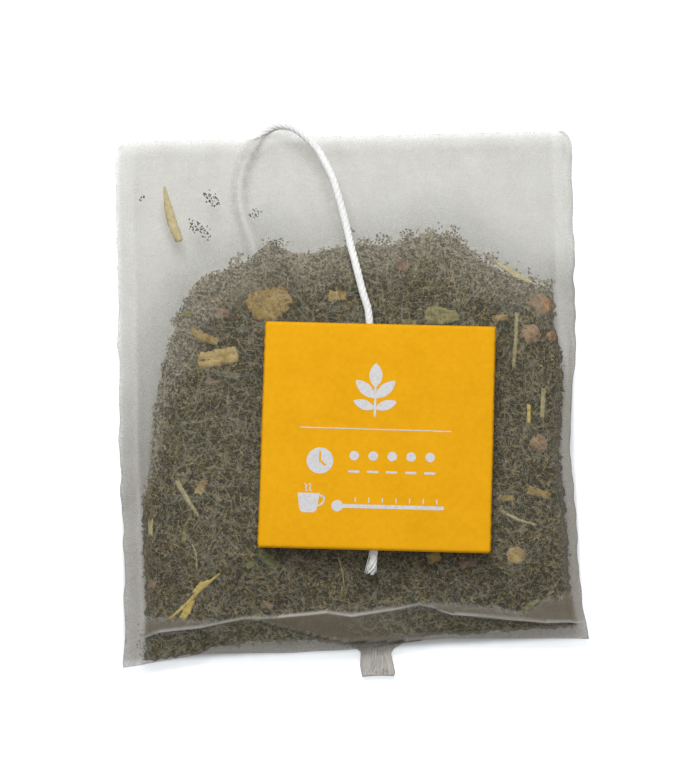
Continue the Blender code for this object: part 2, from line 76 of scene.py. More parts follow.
THREAD_ROUTE_MM = (
    (2.9, -32.0, 0.55), (2.3, -29.5, 0.55), (1.8, -27.1, 0.55), (1.2, -24.6, 0.55),
    (0.6, -22.2, 0.55), (0.0, -19.7, 0.55), (-0.6, -17.3, 0.55), (-1.2, -15.0, 0.55),
    (-2.0, -12.6, 0.55), (-2.7, -10.3, 0.55), (-3.6, -7.9, 0.55), (-4.4, -5.5, 0.55),
    (-5.3, -3.1, 0.55), (-6.1, -0.8, 0.55), (-6.9, 1.6, 0.55), (-7.6, 4.0, 0.55),
    (-8.3, 6.3, 0.55), (-9.0, 8.6, 0.55), (-9.6, 10.9, 0.55), (-10.2, 13.1, 0.55),
    (-10.8, 15.5, 0.55), (-11.5, 17.8, 0.55), (-12.1, 20.1, 0.55), (-12.7, 22.4, 0.55),
    (-13.5, 24.6, 0.55), (-14.0, 26.9, 0.55), (-14.0, 29.4, 0.55), (-13.5, 31.8, 0.55),
    (-12.4, 33.9, 0.55), (-11.0, 36.0, 0.53), (-9.0, 37.0, 1.56), (-6.9, 36.5, 2.78),
    (-5.0, 35.0, 3.04), (-3.4, 33.1, 3.07), (-2.4, 31.0, 3.69), (-1.5, 28.8, 4.27),
    (-0.9, 26.5, 4.58), (-0.3, 24.1, 4.65), (0.2, 21.8, 5.03), (0.6, 19.5, 5.72),
    (1.1, 17.2, 6.44), (1.6, 14.8, 6.99), (2.1, 12.5, 7.16), (2.7, 10.3, 7.21),
    (2.9, 8.0, 7.20), (3.0, 5.5, 7.20), (3.0, 3.0, 7.20), (3.0, 0.5, 7.20),
    (3.0, -1.9, 7.20), (3.0, -4.4, 7.22), (3.0, -6.7, 7.22), (3.0, -9.0, 7.22),
    (2.9, -11.3, 7.19), (2.9, -13.8, 7.16), (2.9, -16.4, 7.12), (2.9, -18.7, 7.05),
    (2.8, -21.1, 6.93), (2.6, -23.4, 6.49), (2.2, -24.7, 5.84),
)
thread_route = [Vector(p) * MM for p in THREAD_ROUTE_MM]


def smooth_path(points, step):
    """Points this far apart along a smooth curve through the given ones."""
    ends = [2 * points[0] - points[1]] + list(points) + [2 * points[-1] - points[-2]]
    fine = []
    for a, b, c, d in zip(ends, ends[1:], ends[2:], ends[3:]):
        for k in range(24):
            t = k / 24
            bend = (c - a) * t + (2 * a - 5 * b + 4 * c - d) * t**2 + (3 * b - a - 3 * c + d) * t**3
            fine.append(b + bend / 2)
    fine.append(points[-1].copy())
    kept, walked = [fine[0]], 0.0
    for before, point in zip(fine, fine[1:]):
        walked += (point - before).length
        if walked >= step:
            kept.append(point)
            walked = 0.0
    return kept


def turned_frames(path):
    """For each point of a path, two directions across it that don't spin along the way."""
    frames = []
    side = None
    for k in range(len(path)):
        along = (path[min(k + 1, len(path) - 1)] - path[max(k - 1, 0)]).normalized()
        if side is None:
            side = along.cross(Vector((0, 0, 1))).normalized()
        side = (side - along * side.dot(along)).normalized()
        frames.append((side.copy(), along.cross(side)))
    return frames


def add_tube(bm, path, radius_at, sides):
    """A closed tube along the path. radius_at gives its radius for a share of the way, 0 to 1."""
    rings = []
    for k, (point, (side, up)) in enumerate(zip(path, turned_frames(path))):
        radius = radius_at(k / (len(path) - 1))
        angles = [2 * math.pi * s / sides for s in range(sides)]
        rings.append(
            [bm.verts.new(point + radius * (math.cos(a) * side + math.sin(a) * up)) for a in angles]
        )
    for low, high in zip(rings, rings[1:]):
        for s in range(sides):
            t = (s + 1) % sides
            bm.faces.new((low[s], low[t], high[t], high[s]))
    bm.faces.new(list(reversed(rings[0])))
    bm.faces.new(rings[-1])


def add_object(name, mesh, material=None):
    if material:
        mesh.materials.append(material)
    piece = bpy.data.objects.new(name, mesh)
    bpy.context.scene.collection.objects.link(piece)
    return piece


def add_piece(name, bm, material=None, flat=False):
    """A piece from this bmesh, its faces turned outwards."""
    bmesh.ops.recalc_face_normals(bm, faces=bm.faces[:])
    for face in bm.faces:
        face.smooth = not flat
    mesh = bpy.data.meshes.new(name)
    bm.to_mesh(mesh)
    bm.free()
    return add_object(name, mesh, material)


def new_material(name, colour, roughness):
    """A material with its shader's colour and roughness set, and its node tree to add to."""
    made = bpy.data.materials.new(name)
    made.use_nodes = True
    shader = made.node_tree.nodes["Principled BSDF"]
    shader.inputs["Base Color"].default_value = (*colour, 1.0)
    shader.inputs["Roughness"].default_value = roughness
    shader.inputs["Specular IOR Level"].default_value = 0.25
    return made, made.node_tree, shader


def add_node(tree, kind, inputs=None, **settings):
    """A node of this kind with its settings, its inputs set or linked."""
    node = tree.nodes.new(kind)
    for key, value in settings.items():
        setattr(node, key, value)
    for key, value in (inputs or {}).items():
        if isinstance(value, bpy.types.NodeSocket):
            tree.links.new(value, node.inputs[key])
        else:
            node.inputs[key].default_value = value
    return node


def object_place(tree):
    return add_node(tree, "ShaderNodeTexCoord").outputs["Object"]


def noise(tree, place, scale, detail=2.0, rough=0.5, twist=0.0):
    inputs = {"Vector": place, "Scale": scale, "Detail": detail, "Roughness": rough}
    inputs["Distortion"] = twist
    return add_node(tree, "ShaderNodeTexNoise", inputs).outputs["Fac"]


def worked_out(tree, operation, *values, clamp=False):
    """The result of a Math node on these numbers or sockets."""
    inputs = dict(enumerate(values))
    node = add_node(tree, "ShaderNodeMath", inputs, operation=operation, use_clamp=clamp)
    return node.outputs[0]


def add_ramp(tree, factor, stops):
    """A colour ramp on this factor. Each stop is a position and a colour."""
    node = add_node(tree, "ShaderNodeValToRGB", {"Fac": factor})
    ramp = node.color_ramp
    for place, _ in stops[2:]:
        ramp.elements.new(place)
    for element, (place, colour) in zip(ramp.elements, sorted(stops)):
        element.position = place
        element.color = (*colour, 1.0)
    return node.outputs["Color"]


def mixed(tree, factor, first, second):
    """Two colours mixed by a factor from 0 to 1."""
    node = add_node(tree, "ShaderNodeMix", data_type="RGBA")
    for index, value in ((0, factor), (6, first), (7, second)):
        if isinstance(value, bpy.types.NodeSocket):
            tree.links.new(value, node.inputs[index])
        else:
            node.inputs[index].default_value = value if index == 0 else (*value, 1.0)
    return node.outputs[2]


def add_bump(tree, shader, height, distance, strength):
    bump = add_node(tree, "ShaderNodeBump", {"Height": height, "Distance": distance, "Strength": strength})
    tree.links.new(bump.outputs["Normal"], shader.inputs["Normal"])


cotton, tree, shader = new_material("cotton thread", (0.86, 0.86, 0.84), 0.9)
fuzz = noise(tree, object_place(tree), 2600.0, 3.0, 0.7)
shade = add_ramp(tree, fuzz, [(0.35, (0.80, 0.80, 0.785)), (0.6, (0.93, 0.93, 0.92))])
tree.links.new(shade, shader.inputs["Base Color"])
add_bump(tree, shader, fuzz, 0.00008, 0.5)
shader.inputs["Sheen Weight"].default_value = 0.3
shader.inputs["Sheen Roughness"].default_value = 0.5

fine_route = smooth_path(thread_route, THREAD_STEP)
route_frames = turned_frames(fine_route)
last = len(fine_route) - 1
fray_from = last - round(FRAY_LENGTH / THREAD_STEP)
bm = bmesh.new()
for ply in range(PLY_COUNT):
    strand = []
    for k, (point, (side, up)) in enumerate(zip(fine_route, route_frames)):
        turn = 2 * math.pi * (k * THREAD_STEP / PLY_PITCH + ply / PLY_COUNT)
        orbit = PLY_ORBIT * (1 + 0.7 * max(0, k - fray_from) / (last - fray_from))
        strand.append(point + orbit * (math.cos(turn) * side + math.sin(turn) * up))
    add_tube(bm, strand, lambda t: PLY_RADIUS * min(1.0, 0.35 + 30 * (1 - t)), PLY_SIDES)
chance = random.Random(5)
fray_way = (fine_route[-1] - fine_route[fray_from]).normalized()
for fibre in range(FRAY_FIBRES):
    start = fine_route[fray_from] + Vector((chance.uniform(-0.45, 0.45), 0, chance.uniform(-0.2, 0.25))) * MM
    lean = chance.uniform(-1, 1)
    reach = chance.uniform(0.92, 1.08) * FRAY_LENGTH
    bow = chance.uniform(-0.3, 0.3) * FRAY_SPREAD
    hair = []
    for k in range(7):
        t = k / 6
        sideways = lean * FRAY_SPREAD * t**1.5 + bow * math.sin(math.pi * t)
        hair.append(start + fray_way * reach * t + Vector((sideways, 0, 0)))
    add_tube(bm, hair, lambda t: FRAY_RADIUS * (1 - 0.4 * t), 5)
thread = add_piece("thread_cotton", bm, cotton)
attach(thread, "root")
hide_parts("thread")


# Table and light. A plain white table, a soft dome, a soft lamp past the top edge and one overhead.
# To the camera alone the table glows white. Inside the bag's outline it glows less, most of all under
# the tea: a painted shadow, fitted to the bag's outline, so that what shows through the film stays shaded.

TABLE_HALF = 1.2
TABLE_GLOW = 0.55
GLOW_UNDER_BAG = 0.21
GLOW_UNDER_TEA = 0.08
GLOW_FADE = 1.0 * MM
OUTLINE_HALF = 29.3 * MM
OUTLINE_SHIFT = 0.35 * MM
OUTLINE_TOP = 34.9 * MM
OUTLINE_FOOT = -32.9 * MM
FOOT_SLANT = 0.03
DOME_STRENGTH = 0.34

white, tree, shader = new_material("white table", (0.95, 0.95, 0.95), 0.9)
shader.inputs["Specular IOR Level"].default_value = 0.0
seen = add_node(tree, "ShaderNodeLightPath").outputs["Is Camera Ray"]
spot = add_node(tree, "ShaderNodeSeparateXYZ", {"Vector": object_place(tree)})
from_middle = worked_out(tree, "ABSOLUTE", worked_out(tree, "ADD", spot.outputs["X"], OUTLINE_SHIFT))
beyond_side = worked_out(tree, "SUBTRACT", from_middle, OUTLINE_HALF)
beyond_top = worked_out(tree, "SUBTRACT", spot.outputs["Y"], OUTLINE_TOP)
bottom_edge = worked_out(tree, "MULTIPLY_ADD", spot.outputs["X"], FOOT_SLANT, OUTLINE_FOOT)
beyond_bottom = worked_out(tree, "SUBTRACT", bottom_edge, spot.outputs["Y"])
beyond = worked_out(tree, "MAXIMUM", beyond_side, worked_out(tree, "MAXIMUM", beyond_top, beyond_bottom))
# Painted shadow: the glow inside the bag's outline, lowest under the tea.
painted_shadow_glow = add_node(tree, "ShaderNodeMapRange", {
    "Value": spot.outputs["Y"], "From Min": -28.0 * MM, "From Max": 0.0, "To Min": GLOW_UNDER_TEA,
    "To Max": GLOW_UNDER_BAG,
}, interpolation_type="SMOOTHSTEP")
glow = add_node(tree, "ShaderNodeMapRange", {
    "Value": beyond, "From Min": 0.0, "From Max": GLOW_FADE, "To Min": painted_shadow_glow.outputs["Result"],
    "To Max": TABLE_GLOW,
}, interpolation_type="SMOOTHSTEP")
tree.links.new(worked_out(tree, "MULTIPLY", seen, glow.outputs["Result"]), shader.inputs["Emission Strength"])
shader.inputs["Emission Color"].default_value = (0.89, 0.95, 1.0, 1.0)
bm = bmesh.new()
bmesh.ops.create_grid(bm, x_segments=1, y_segments=1, size=TABLE_HALF)
table = add_piece("table", bm, white)
table.location.z = -0.02 * MM

world = bpy.data.worlds.new("studio")
world.use_nodes = True
world.node_tree.nodes["Background"].inputs["Color"].default_value = (1.0, 1.0, 1.0, 1.0)
world.node_tree.nodes["Background"].inputs["Strength"].default_value = DOME_STRENGTH
bpy.context.scene.world = world
bpy.context.scene.view_settings.view_transform = "Standard"


def soft_lamp(name, place, size, watts):
    """A square soft lamp turned to the middle of the bag."""
    lamp = bpy.data.lights.new(name, "AREA")
    lamp.shape = "SQUARE"
    lamp.size = size
    lamp.energy = watts
    stand = bpy.data.objects.new(name, lamp)
    stand.location = place
    stand.rotation_euler = (-Vector(place)).to_track_quat("-Z", "Y").to_euler()
    bpy.context.scene.collection.objects.link(stand)


soft_lamp("lamp_past_top_edge", (-0.03, 0.17, 0.27), 0.18, 0.75)
soft_lamp("lamp_overhead", (0.15, -0.10, 0.80), 0.5, 0.6)


# Film bag. One strip of thin non-woven film with fine pale fibres in it, folded at the bottom panel
# and heat-welded down both sides and along the top. The tea holds it up from inside. Its colour
# carries painted shade, darker towards the bottom, beside the tea, over the fold and under the creases,
# and painted light, paler over the tea's upper margin and along the thread's run beneath.

HALF_WIDTH = 30.0 * MM
HALF_LENGTH = 35.4 * MM
SIDE_WELD = 2.3 * MM
TUCKED_WELD = 0.9 * MM
TOP_WELD = 1.4 * MM
INNER_HALF = HALF_WIDTH - SIDE_WELD
TOP_EDGE = HALF_LENGTH
WELD_UNDER = 1.4 * MM
WELD_TOP = 2.2 * MM
WELD_LEVEL = 1.8 * MM
WELD_HALF = 0.05 * MM
AIR_RISE = 1.6 * MM
TEA_RISE = 2.6 * MM
FOLD_SHARE = 0.42
AIR_RAMP = 7.0 * MM
TEA_RAMP = 12.0 * MM
TEA_LEAD = 3.5 * MM
FOLD_RAMP = 10.0 * MM
SAG_RAMP = 6.0 * MM
SIDE_POWER = 5.0
SIDE_ROOT = 0.6
TUCK_FROM = 0.3 * HALF_LENGTH
LOOP_MIDDLE = -7.7 * MM
LOOP_REACH = 4.2 * MM
LOOP_RISE = 1.15 * MM
LOOP_RISE_FROM = 31.0 * MM
LOOP_RISE_RAMP = 4.4 * MM
PANEL_ROWS = 16
FRONT_ROWS = 150
WELD_ROWS = 4
INNER_COLUMNS = 132
WELD_COLUMNS = 5

TEA_LINE = (
    (-1.0, -0.42), (-0.92, -0.36), (-0.873, -0.271), (-0.847, -0.008), (-0.777, 0.257),
    (-0.71, 0.41), (-0.643, 0.486), (-0.423, 0.556), (-0.343, 0.624), (-0.203, 0.571),
    (0.02, 0.605), (0.193, 0.602), (0.283, 0.627), (0.46, 0.636), (0.523, 0.582),
    (0.587, 0.537), (0.76, 0.455), (0.87, 0.432), (0.92, 0.40), (1.0, 0.37),
)
FRONT_FOLD = (
    (-1.0, -0.907), (-0.849, -0.877), (-0.664, -0.866), (-0.478, -0.836), (-0.327, -0.836),
    (-0.116, -0.821), (-0.014, -0.838), (0.064, -0.829), (0.198, -0.813), (0.271, -0.8),
    (0.353, -0.818), (0.421, -0.841), (0.519, -0.849), (0.665, -0.863), (0.819, -0.876),
    (1.0, -0.871),
)
BACK_FOLD = (
    (-1.0, -1.0), (-0.906, -0.991), (-0.66, -0.956), (-0.28, -0.96), (-0.026, -0.954),
    (0.099, -0.945), (0.194, -0.934), (0.289, -0.925), (0.389, -0.921), (1.0, -0.934),
)
LEFT_EDGE = (
    (-1.0, -1.006), (-0.9, -0.992), (-0.8, -0.989), (-0.64, -0.994), (-0.42, -0.998),
    (-0.24, -1.007), (-0.1, -1.01), (0.08, -1.006), (0.22, -1.012), (0.4, -1.005),
    (0.54, -1.011), (0.75, -1.017), (0.95, -1.01), (0.985, -0.995), (1.0, -0.965),
)
RIGHT_EDGE = (
    (-0.94, 1.004), (-0.82, 0.988), (-0.72, 0.978), (-0.55, 0.973), (-0.42, 0.968),
    (-0.32, 0.959), (-0.25, 0.953), (-0.19, 0.957), (-0.1, 0.964), (0.04, 0.98),
    (0.13, 0.991), (0.24, 0.998), (0.4, 0.998), (0.6, 1.005), (0.96, 1.003),
    (0.985, 0.995), (1.0, 0.975),
)
# Where the tea starts above the front fold, and where it ends below it.
TEA_FOOT = (
    (-1.0, -0.815), (-0.934, -0.821), (-0.77, -0.828), (-0.663, -0.841), (-0.555, -0.847),
    (-0.478, -0.837), (-0.327, -0.836), (0.3, -0.80), (0.345, -0.795), (0.499, -0.805),
    (0.627, -0.823), (0.713, -0.839), (0.778, -0.811), (0.844, -0.786), (1.0, -0.77),
)
PANEL_FOOT = (
    (-1.0, -0.985), (-0.939, -0.979), (-0.754, -0.964), (-0.667, -0.951), (-0.602, -0.938),
    (-0.494, -0.921), (-0.15, -0.917), (-0.021, -0.920), (0.195, -0.913), (0.324, -0.905),
    (0.539, -0.909), (0.798, -0.896), (0.928, -0.887), (1.0, -0.86),
)
SECOND_CREASE = (
    (-0.479, -0.836), (-0.397, -0.849), (-0.312, -0.872), (-0.235, -0.889), (-0.140, -0.906),
    (-0.042, -0.926),
)
THIRD_CREASE = ((-0.597, -0.895), (-0.545, -0.904), (-0.498, -0.919))


def smooth(t):
    t = np.clip(t, 0.0, 1.0)
    return t * t * (3 - 2 * t)


def along_line(line, u):
    firsts, seconds = zip(*line)
    return np.interp(u, firsts, seconds)


def across(line, x):
    """The y of a line of shares, at x in metres."""
    return HALF_LENGTH * along_line(line, x / HALF_WIDTH)


def on_bag(points):
    return [(HALF_WIDTH * u, HALF_LENGTH * v) for u, v in points]


def outer_edge(x, y):
    """How far out the side edge next to x stands at y."""
    v = y / HALF_LENGTH
    return HALF_WIDTH * np.where(x > 0, along_line(RIGHT_EDGE, v), -along_line(LEFT_EDGE, v))


def tucked(x, y):
    """1 low on the right, where most of the side weld is tucked under, and 0 elsewhere."""
    return smooth((TUCK_FROM - y) / TUCK_FROM) * (x > 0)


def inner_edge(x, y):
    """Where the side weld ends."""
    return outer_edge(x, y) - SIDE_WELD + (SIDE_WELD - TUCKED_WELD) * tucked(x, y)


def side_share(x, y):
    """1 in the middle of the bag, 0 at a side weld."""
    u = np.minimum(np.abs(x) / inner_edge(x, y), 1.0)
    return (1 - u**SIDE_POWER) ** SIDE_ROOT


def rise(x, y):
    air = AIR_RISE * smooth((TOP_EDGE - TOP_WELD - y) / AIR_RAMP)
    tea = TEA_RISE * smooth((across(TEA_LINE, x) - y + TEA_LEAD) / TEA_RAMP)
    bottom = FOLD_SHARE + (1 - FOLD_SHARE) * smooth((y - across(FRONT_FOLD, x)) / FOLD_RAMP)
    return side_share(x, y) * (air + tea) * bottom


def front(x, y):
    """Height of the front film, or of the bottom panel below the front fold."""
    fold, edge = across(FRONT_FOLD, x), across(BACK_FOLD, x)
    share = np.clip((y - edge) / (fold - edge), 0.0, 1.0)
    return WELD_TOP + np.where(y >= fold, rise(x, y), rise(x, fold) * share)


def under(x, y):
    """Height of the back film: flat on the table where tea weighs it down."""
    from_side = inner_edge(x, y) - np.abs(x)
    inward = np.minimum(np.minimum(from_side, y - across(BACK_FOLD, x)), across(TEA_LINE, x) - y)
    return WELD_UNDER * (1 - smooth(inward / SAG_RAMP))


def ripple(x, y, size, seed):
    """Smooth random waves of about this size, from -1 to 1."""
    chance = random.Random(seed)
    total = np.zeros_like(x)
    for _ in range(9):
        turn = chance.uniform(0, 2 * math.pi)
        pace = 2 * math.pi / (size * chance.uniform(0.7, 1.6))
        total += np.sin(pace * (x * math.cos(turn) + y * math.sin(turn)) + chance.uniform(0, 6.28))
    return np.clip(total / 4.0, -1.0, 1.0)


def distance_to(line, x, y):
    """Distance of each (x, y) from a line of points in the plane, in metres."""
    best = np.full(np.shape(x), 1.0)
    for a, b in zip(line, line[1:]):
        ax, ay, bx, by = a[0], a[1], b[0], b[1]
        reach = (bx - ax) ** 2 + (by - ay) ** 2
        t = np.clip(((x - ax) * (bx - ax) + (y - ay) * (by - ay)) / reach, 0.0, 1.0)
        best = np.minimum(best, np.hypot(x - ax - t * (bx - ax), y - ay - t * (by - ay)))
    return best


def closed_shell(name, x, y, top, low):
    """A closed mesh between two heights over one grid of places, sewn together along its rim.
    The mask of its rim comes with it, to lay out values for its points."""
    rim = np.zeros(x.shape, bool)
    rim[0, :] = rim[-1, :] = True
    rim[:, 0] = rim[:, -1] = True
    top = np.where(rim, (top + low) / 2, top)
    upper = np.arange(x.size).reshape(x.shape)
    lower = upper.copy()
    lower[~rim] = x.size + np.arange(np.count_nonzero(~rim))
    points = np.stack([x, y, top], axis=-1).reshape(-1, 3)
    points = np.concatenate([points, np.stack([x, y, low], axis=-1)[~rim]])
    faces = []
    for index, order in ((upper, (0, 1, 2, 3)), (lower, (3, 2, 1, 0))):
        corners = (index[:-1, :-1], index[:-1, 1:], index[1:, 1:], index[1:, :-1])
        faces.append(np.stack([corners[k].reshape(-1) for k in order], axis=-1))
    mesh = bpy.data.meshes.new(name)
    mesh.from_pydata(points.tolist(), [], np.concatenate(faces).tolist())
    mesh.shade_smooth()
    return mesh, rim


def lay_out(mesh, name, values, rim, upper_share=1.0):
    """A value for each point of a closed shell, above by this share of what it is below."""
    layer = mesh.attributes.new(name, "FLOAT", "POINT")
    both = np.concatenate([upper_share * values.reshape(-1), values[~rim]])
    layer.data.foreach_set("value", both.astype(np.float32))


weld_steps = [k / WELD_COLUMNS for k in range(WELD_COLUMNS)]
columns = [-HALF_WIDTH + SIDE_WELD * t for t in weld_steps]
columns += list(np.linspace(-INNER_HALF, INNER_HALF, INNER_COLUMNS + 1))
columns += [HALF_WIDTH - SIDE_WELD * t for t in reversed(weld_steps)]
columns = np.array(columns)
edge, fold, weld = across(BACK_FOLD, columns), across(FRONT_FOLD, columns), TOP_EDGE - TOP_WELD
panel_share = np.linspace(0, 1, PANEL_ROWS + 1)[:, None]
front_share = np.linspace(0, 1, FRONT_ROWS + 1)[1:, None]
weld_share = np.linspace(0, 1, WELD_ROWS + 1)[1:, None]
bag_y = np.concatenate([
    edge + (fold - edge) * panel_share,
    fold + (weld - fold) * front_share,
    weld + (TOP_EDGE - weld) * weld_share + 0 * fold,
])
flat_x = np.broadcast_to(columns, bag_y.shape)
inner, outer = inner_edge(flat_x, bag_y), outer_edge(flat_x, bag_y)
past = np.maximum(np.abs(flat_x) - INNER_HALF, 0.0) / SIDE_WELD
bag_x = np.sign(flat_x) * (np.minimum(np.abs(flat_x) / INNER_HALF, 1.0) * inner + past * (outer - inner))
scallop = 0.16 * MM * (np.abs(flat_x) / HALF_WIDTH) ** 8
bag_x = bag_x + scallop * ripple(flat_x, bag_y, 4.6 * MM, 8)
at_ends = smooth((np.abs(bag_y) / HALF_LENGTH - 0.9) / 0.1)
bag_y = bag_y + 0.06 * MM * ripple(flat_x, bag_y, 5.0 * MM, 3) * at_ends
# Inside the bend of the thread the top edge is drawn up to it.
drawn_up = LOOP_RISE * smooth(1.3 * (1 - np.abs(bag_x - LOOP_MIDDLE) / LOOP_REACH))
bag_y = bag_y + drawn_up * smooth((bag_y - LOOP_RISE_FROM) / LOOP_RISE_RAMP)


def inside_welds(x, y):
    """1 over most of the bag, falling to 0 at the side and top welds."""
    from_side = inner_edge(x, y) - np.abs(x)
    return smooth(from_side / (1.2 * MM)) * smooth((TOP_EDGE - TOP_WELD - y) / (1.5 * MM))


def film_height(x, y):
    """Height of the front film's own upper face, before its small waves."""
    level = WELD_LEVEL + WELD_HALF
    return level + (front(x, y) - level) * inside_welds(x, y)


from_weld = inner_edge(bag_x, bag_y) - np.abs(bag_x)
inside = inside_welds(bag_x, bag_y)
below_fold = bag_y < across(FRONT_FOLD, bag_x)
top_z = film_height(bag_x, bag_y)
low_in = inside * smooth((bag_y - across(BACK_FOLD, bag_x)) / (1.0 * MM))
low_z = WELD_LEVEL - WELD_HALF + (under(bag_x, bag_y) - WELD_LEVEL + WELD_HALF) * low_in

back_run = [p for p in thread_route if p.z < 0.6 * MM]
front_run = [p for p in thread_route if p.z > 3.0 * MM]
near_back_run = smooth((2.6 * MM - distance_to(back_run, bag_x, bag_y)) / (1.8 * MM))
low_z = np.maximum(low_z, 1.2 * MM * near_back_run + 0.02 * MM)
near_front_run = smooth(1 - distance_to(front_run, bag_x, bag_y) / (1.6 * MM))
waves = 0.10 * MM * ripple(bag_x, bag_y, 9.0 * MM, 21) + 0.06 * MM * ripple(bag_x, bag_y, 3.2 * MM, 4)
top_z = top_z + inside * (waves - 0.05 * MM + 0.2 * MM * near_front_run)
top_z = np.maximum(top_z, low_z + 0.05 * MM)
mesh, rim = closed_shell("film", bag_x, bag_y, top_z, low_z)

creases = np.zeros_like(bag_x)
for line, width, strength in (
    (FRONT_FOLD, 0.17, 1.0), (SECOND_CREASE, 0.17, 0.3), (THIRD_CREASE, 0.2, 0.4),
):
    away = distance_to(on_bag(line), bag_x, bag_y)
    creases = np.maximum(creases, strength * (1 - smooth(away / (width * MM))))
foot = across(TEA_FOOT, bag_x)
second = np.where(
    (bag_x > -0.479 * HALF_WIDTH) & (bag_x < 0.33 * HALF_WIDTH), across(SECOND_CREASE, bag_x), 0.0
)
# Over the tealess strip above the front fold and the lens between the creases the film lies doubled, and it
# is painted darker there as well, a painted shade.
veil = smooth((foot + 0.6 * MM - bag_y) / (1.6 * MM)) * ~below_fold * (foot > across(FRONT_FOLD, bag_x))
lens = below_fold * smooth((bag_y - second) / (0.15 * MM)) * smooth((0.38 - bag_x / HALF_WIDTH) / 0.5)
veil = np.maximum(veil, lens * (second < 0)) * smooth(from_weld / (0.8 * MM))
below_crease = across(FRONT_FOLD, bag_x) - bag_y
crease_shade = below_fold * (1 - smooth((below_crease - 0.15 * MM) / (0.5 * MM)))
crease_shade = crease_shade * (1 - 0.8 * lens)
under_second = second - 0.1 * MM - bag_y
second_shade = (second < 0) * below_fold * (under_second > -0.1 * MM)
second_shade = second_shade * (1 - smooth(under_second / (0.5 * MM)))
crease_shade = np.maximum(crease_shade, second_shade) * smooth(from_weld / (0.6 * MM))
tea_reach = np.minimum(across(TEA_LINE, bag_x) - bag_y, from_weld)
clear_of_tea = 1 - smooth(tea_reach / (2.0 * MM))
below_panel_tea = smooth((across(PANEL_FOOT, bag_x) + 0.5 * MM - bag_y) / (0.8 * MM))
clear_of_tea = np.maximum(clear_of_tea, 1.5 * below_panel_tea)
# Painted shade: where no tea is behind it, the film is darker towards the bottom, most on the right.
low_shade_share = smooth((0.75 * HALF_LENGTH - bag_y) / (1.5 * HALF_LENGTH)) * np.where(bag_x > 0, 1.9, 0.85)
from_outside = outer_edge(bag_x, bag_y) - np.abs(bag_x)
hem = (1 - smooth((from_outside - 0.6 * MM) / (0.5 * MM))) * (bag_x > 0)
# The lower film is painted pale along the thread's run beneath: the thread's white, and painted light where
# the thread lies in the bag's shade.
cotton_below = 1 - smooth(distance_to(back_run, bag_x, bag_y) / (1.4 * MM))


def veiled(x, y):
    """How far the front film stands off the tea: 1 at the tea's upper limit, 0 deep in it. It sets how much
    painted haze pales the film and the tea there.
    """
    depth = (2.0 + 7.0 * smooth((y / HALF_LENGTH + 0.2) / 0.6)) * MM
    low_fade = smooth((y / HALF_LENGTH + 0.75) / 0.5)
    return (1 - smooth(distance_to(on_bag(TEA_LINE), x, y) / depth)) * low_fade


# Painted shade beside the tea's upper line, where the film greys over the table, and painted haze over the
# tea near that line, where the film is paler.
from_line = distance_to(on_bag(TEA_LINE), bag_x, bag_y)
shade_beside_tea = 0.9 * (1 - smooth(from_line / (6.0 * MM))) * smooth((bag_y / HALF_LENGTH + 0.75) / 0.5)
in_tea = bag_y < across(TEA_LINE, bag_x)
weld_line = 1 - smooth(np.abs(from_weld + 0.15 * MM) / (0.5 * MM))
weld_line = weld_line * (1 - 0.85 * tucked(bag_x, bag_y))
for name, values in (
    ("haze", np.where(in_tea, 0.35 * veiled(bag_x, bag_y), shade_beside_tea)),
    ("shade", crease_shade),
    ("weld", 1 - smooth(from_weld / (0.3 * MM))),
    ("weld_line", weld_line),
    ("top_weld", smooth((bag_y - weld) / (0.3 * MM) + 0.5)),
    ("crease", creases),
    ("veil", veil),
    ("dust", np.clip(low_shade_share * clear_of_tea, 0.0, 1.0)),
    ("hem", hem),
    ("cotton_below", cotton_below),
):
    lay_out(mesh, name, values, rim, upper_share=0.0 if name == "cotton_below" else 1.0)

see_through, tree, shader = new_material("see-through film", (0.36, 0.36, 0.345), 0.6)
place = object_place(tree)
fibres = None
for turn, scale, thin in (
    (0.25, 900.0, 45.0), (0.95, 1100.0, 42.0), (1.6, 950.0, 45.0), (2.2, 1050.0, 42.0),
    (2.85, 1000.0, 45.0),
):
    lay = add_node(
        tree, "ShaderNodeMapping",
        {"Vector": place, "Rotation": (0.0, 0.0, turn), "Scale": (4.5, 1.0, 1.0)},
        vector_type="TEXTURE",
    )
    wave = noise(tree, lay.outputs["Vector"], scale, 1.0, 0.5, 0.4)
    off = worked_out(tree, "ABSOLUTE", worked_out(tree, "SUBTRACT", wave, 0.5))
    ridge = worked_out(tree, "MULTIPLY_ADD", off, -thin, 1.0, clamp=True)
    fibres = ridge if fibres is None else worked_out(tree, "MAXIMUM", fibres, ridge)
cloud = noise(tree, place, 300.0, 4.0, 0.6)


def from_points(tree, name):
    return add_node(tree, "ShaderNodeAttribute", attribute_name=name).outputs["Fac"]


def add_up(tree, start, terms):
    """start plus each socket times its weight, as one socket."""
    total = start
    for socket, weight in terms:
        total = worked_out(tree, "MULTIPLY_ADD", socket, weight, total)
    return total


alpha = add_up(tree, 0.135, [
    (fibres, 0.12), (cloud, 0.12), (from_points(tree, "weld"), -0.03),
    (from_points(tree, "weld_line"), 0.05), (from_points(tree, "top_weld"), 0.02),
    (from_points(tree, "crease"), 0.32), (from_points(tree, "veil"), 0.48),
    (from_points(tree, "dust"), 0.20), (from_points(tree, "haze"), 0.18),
    (from_points(tree, "shade"), 0.30), (from_points(tree, "hem"), 0.16),
    (from_points(tree, "cotton_below"), 0.72),
])
tree.links.new(alpha, shader.inputs["Alpha"])
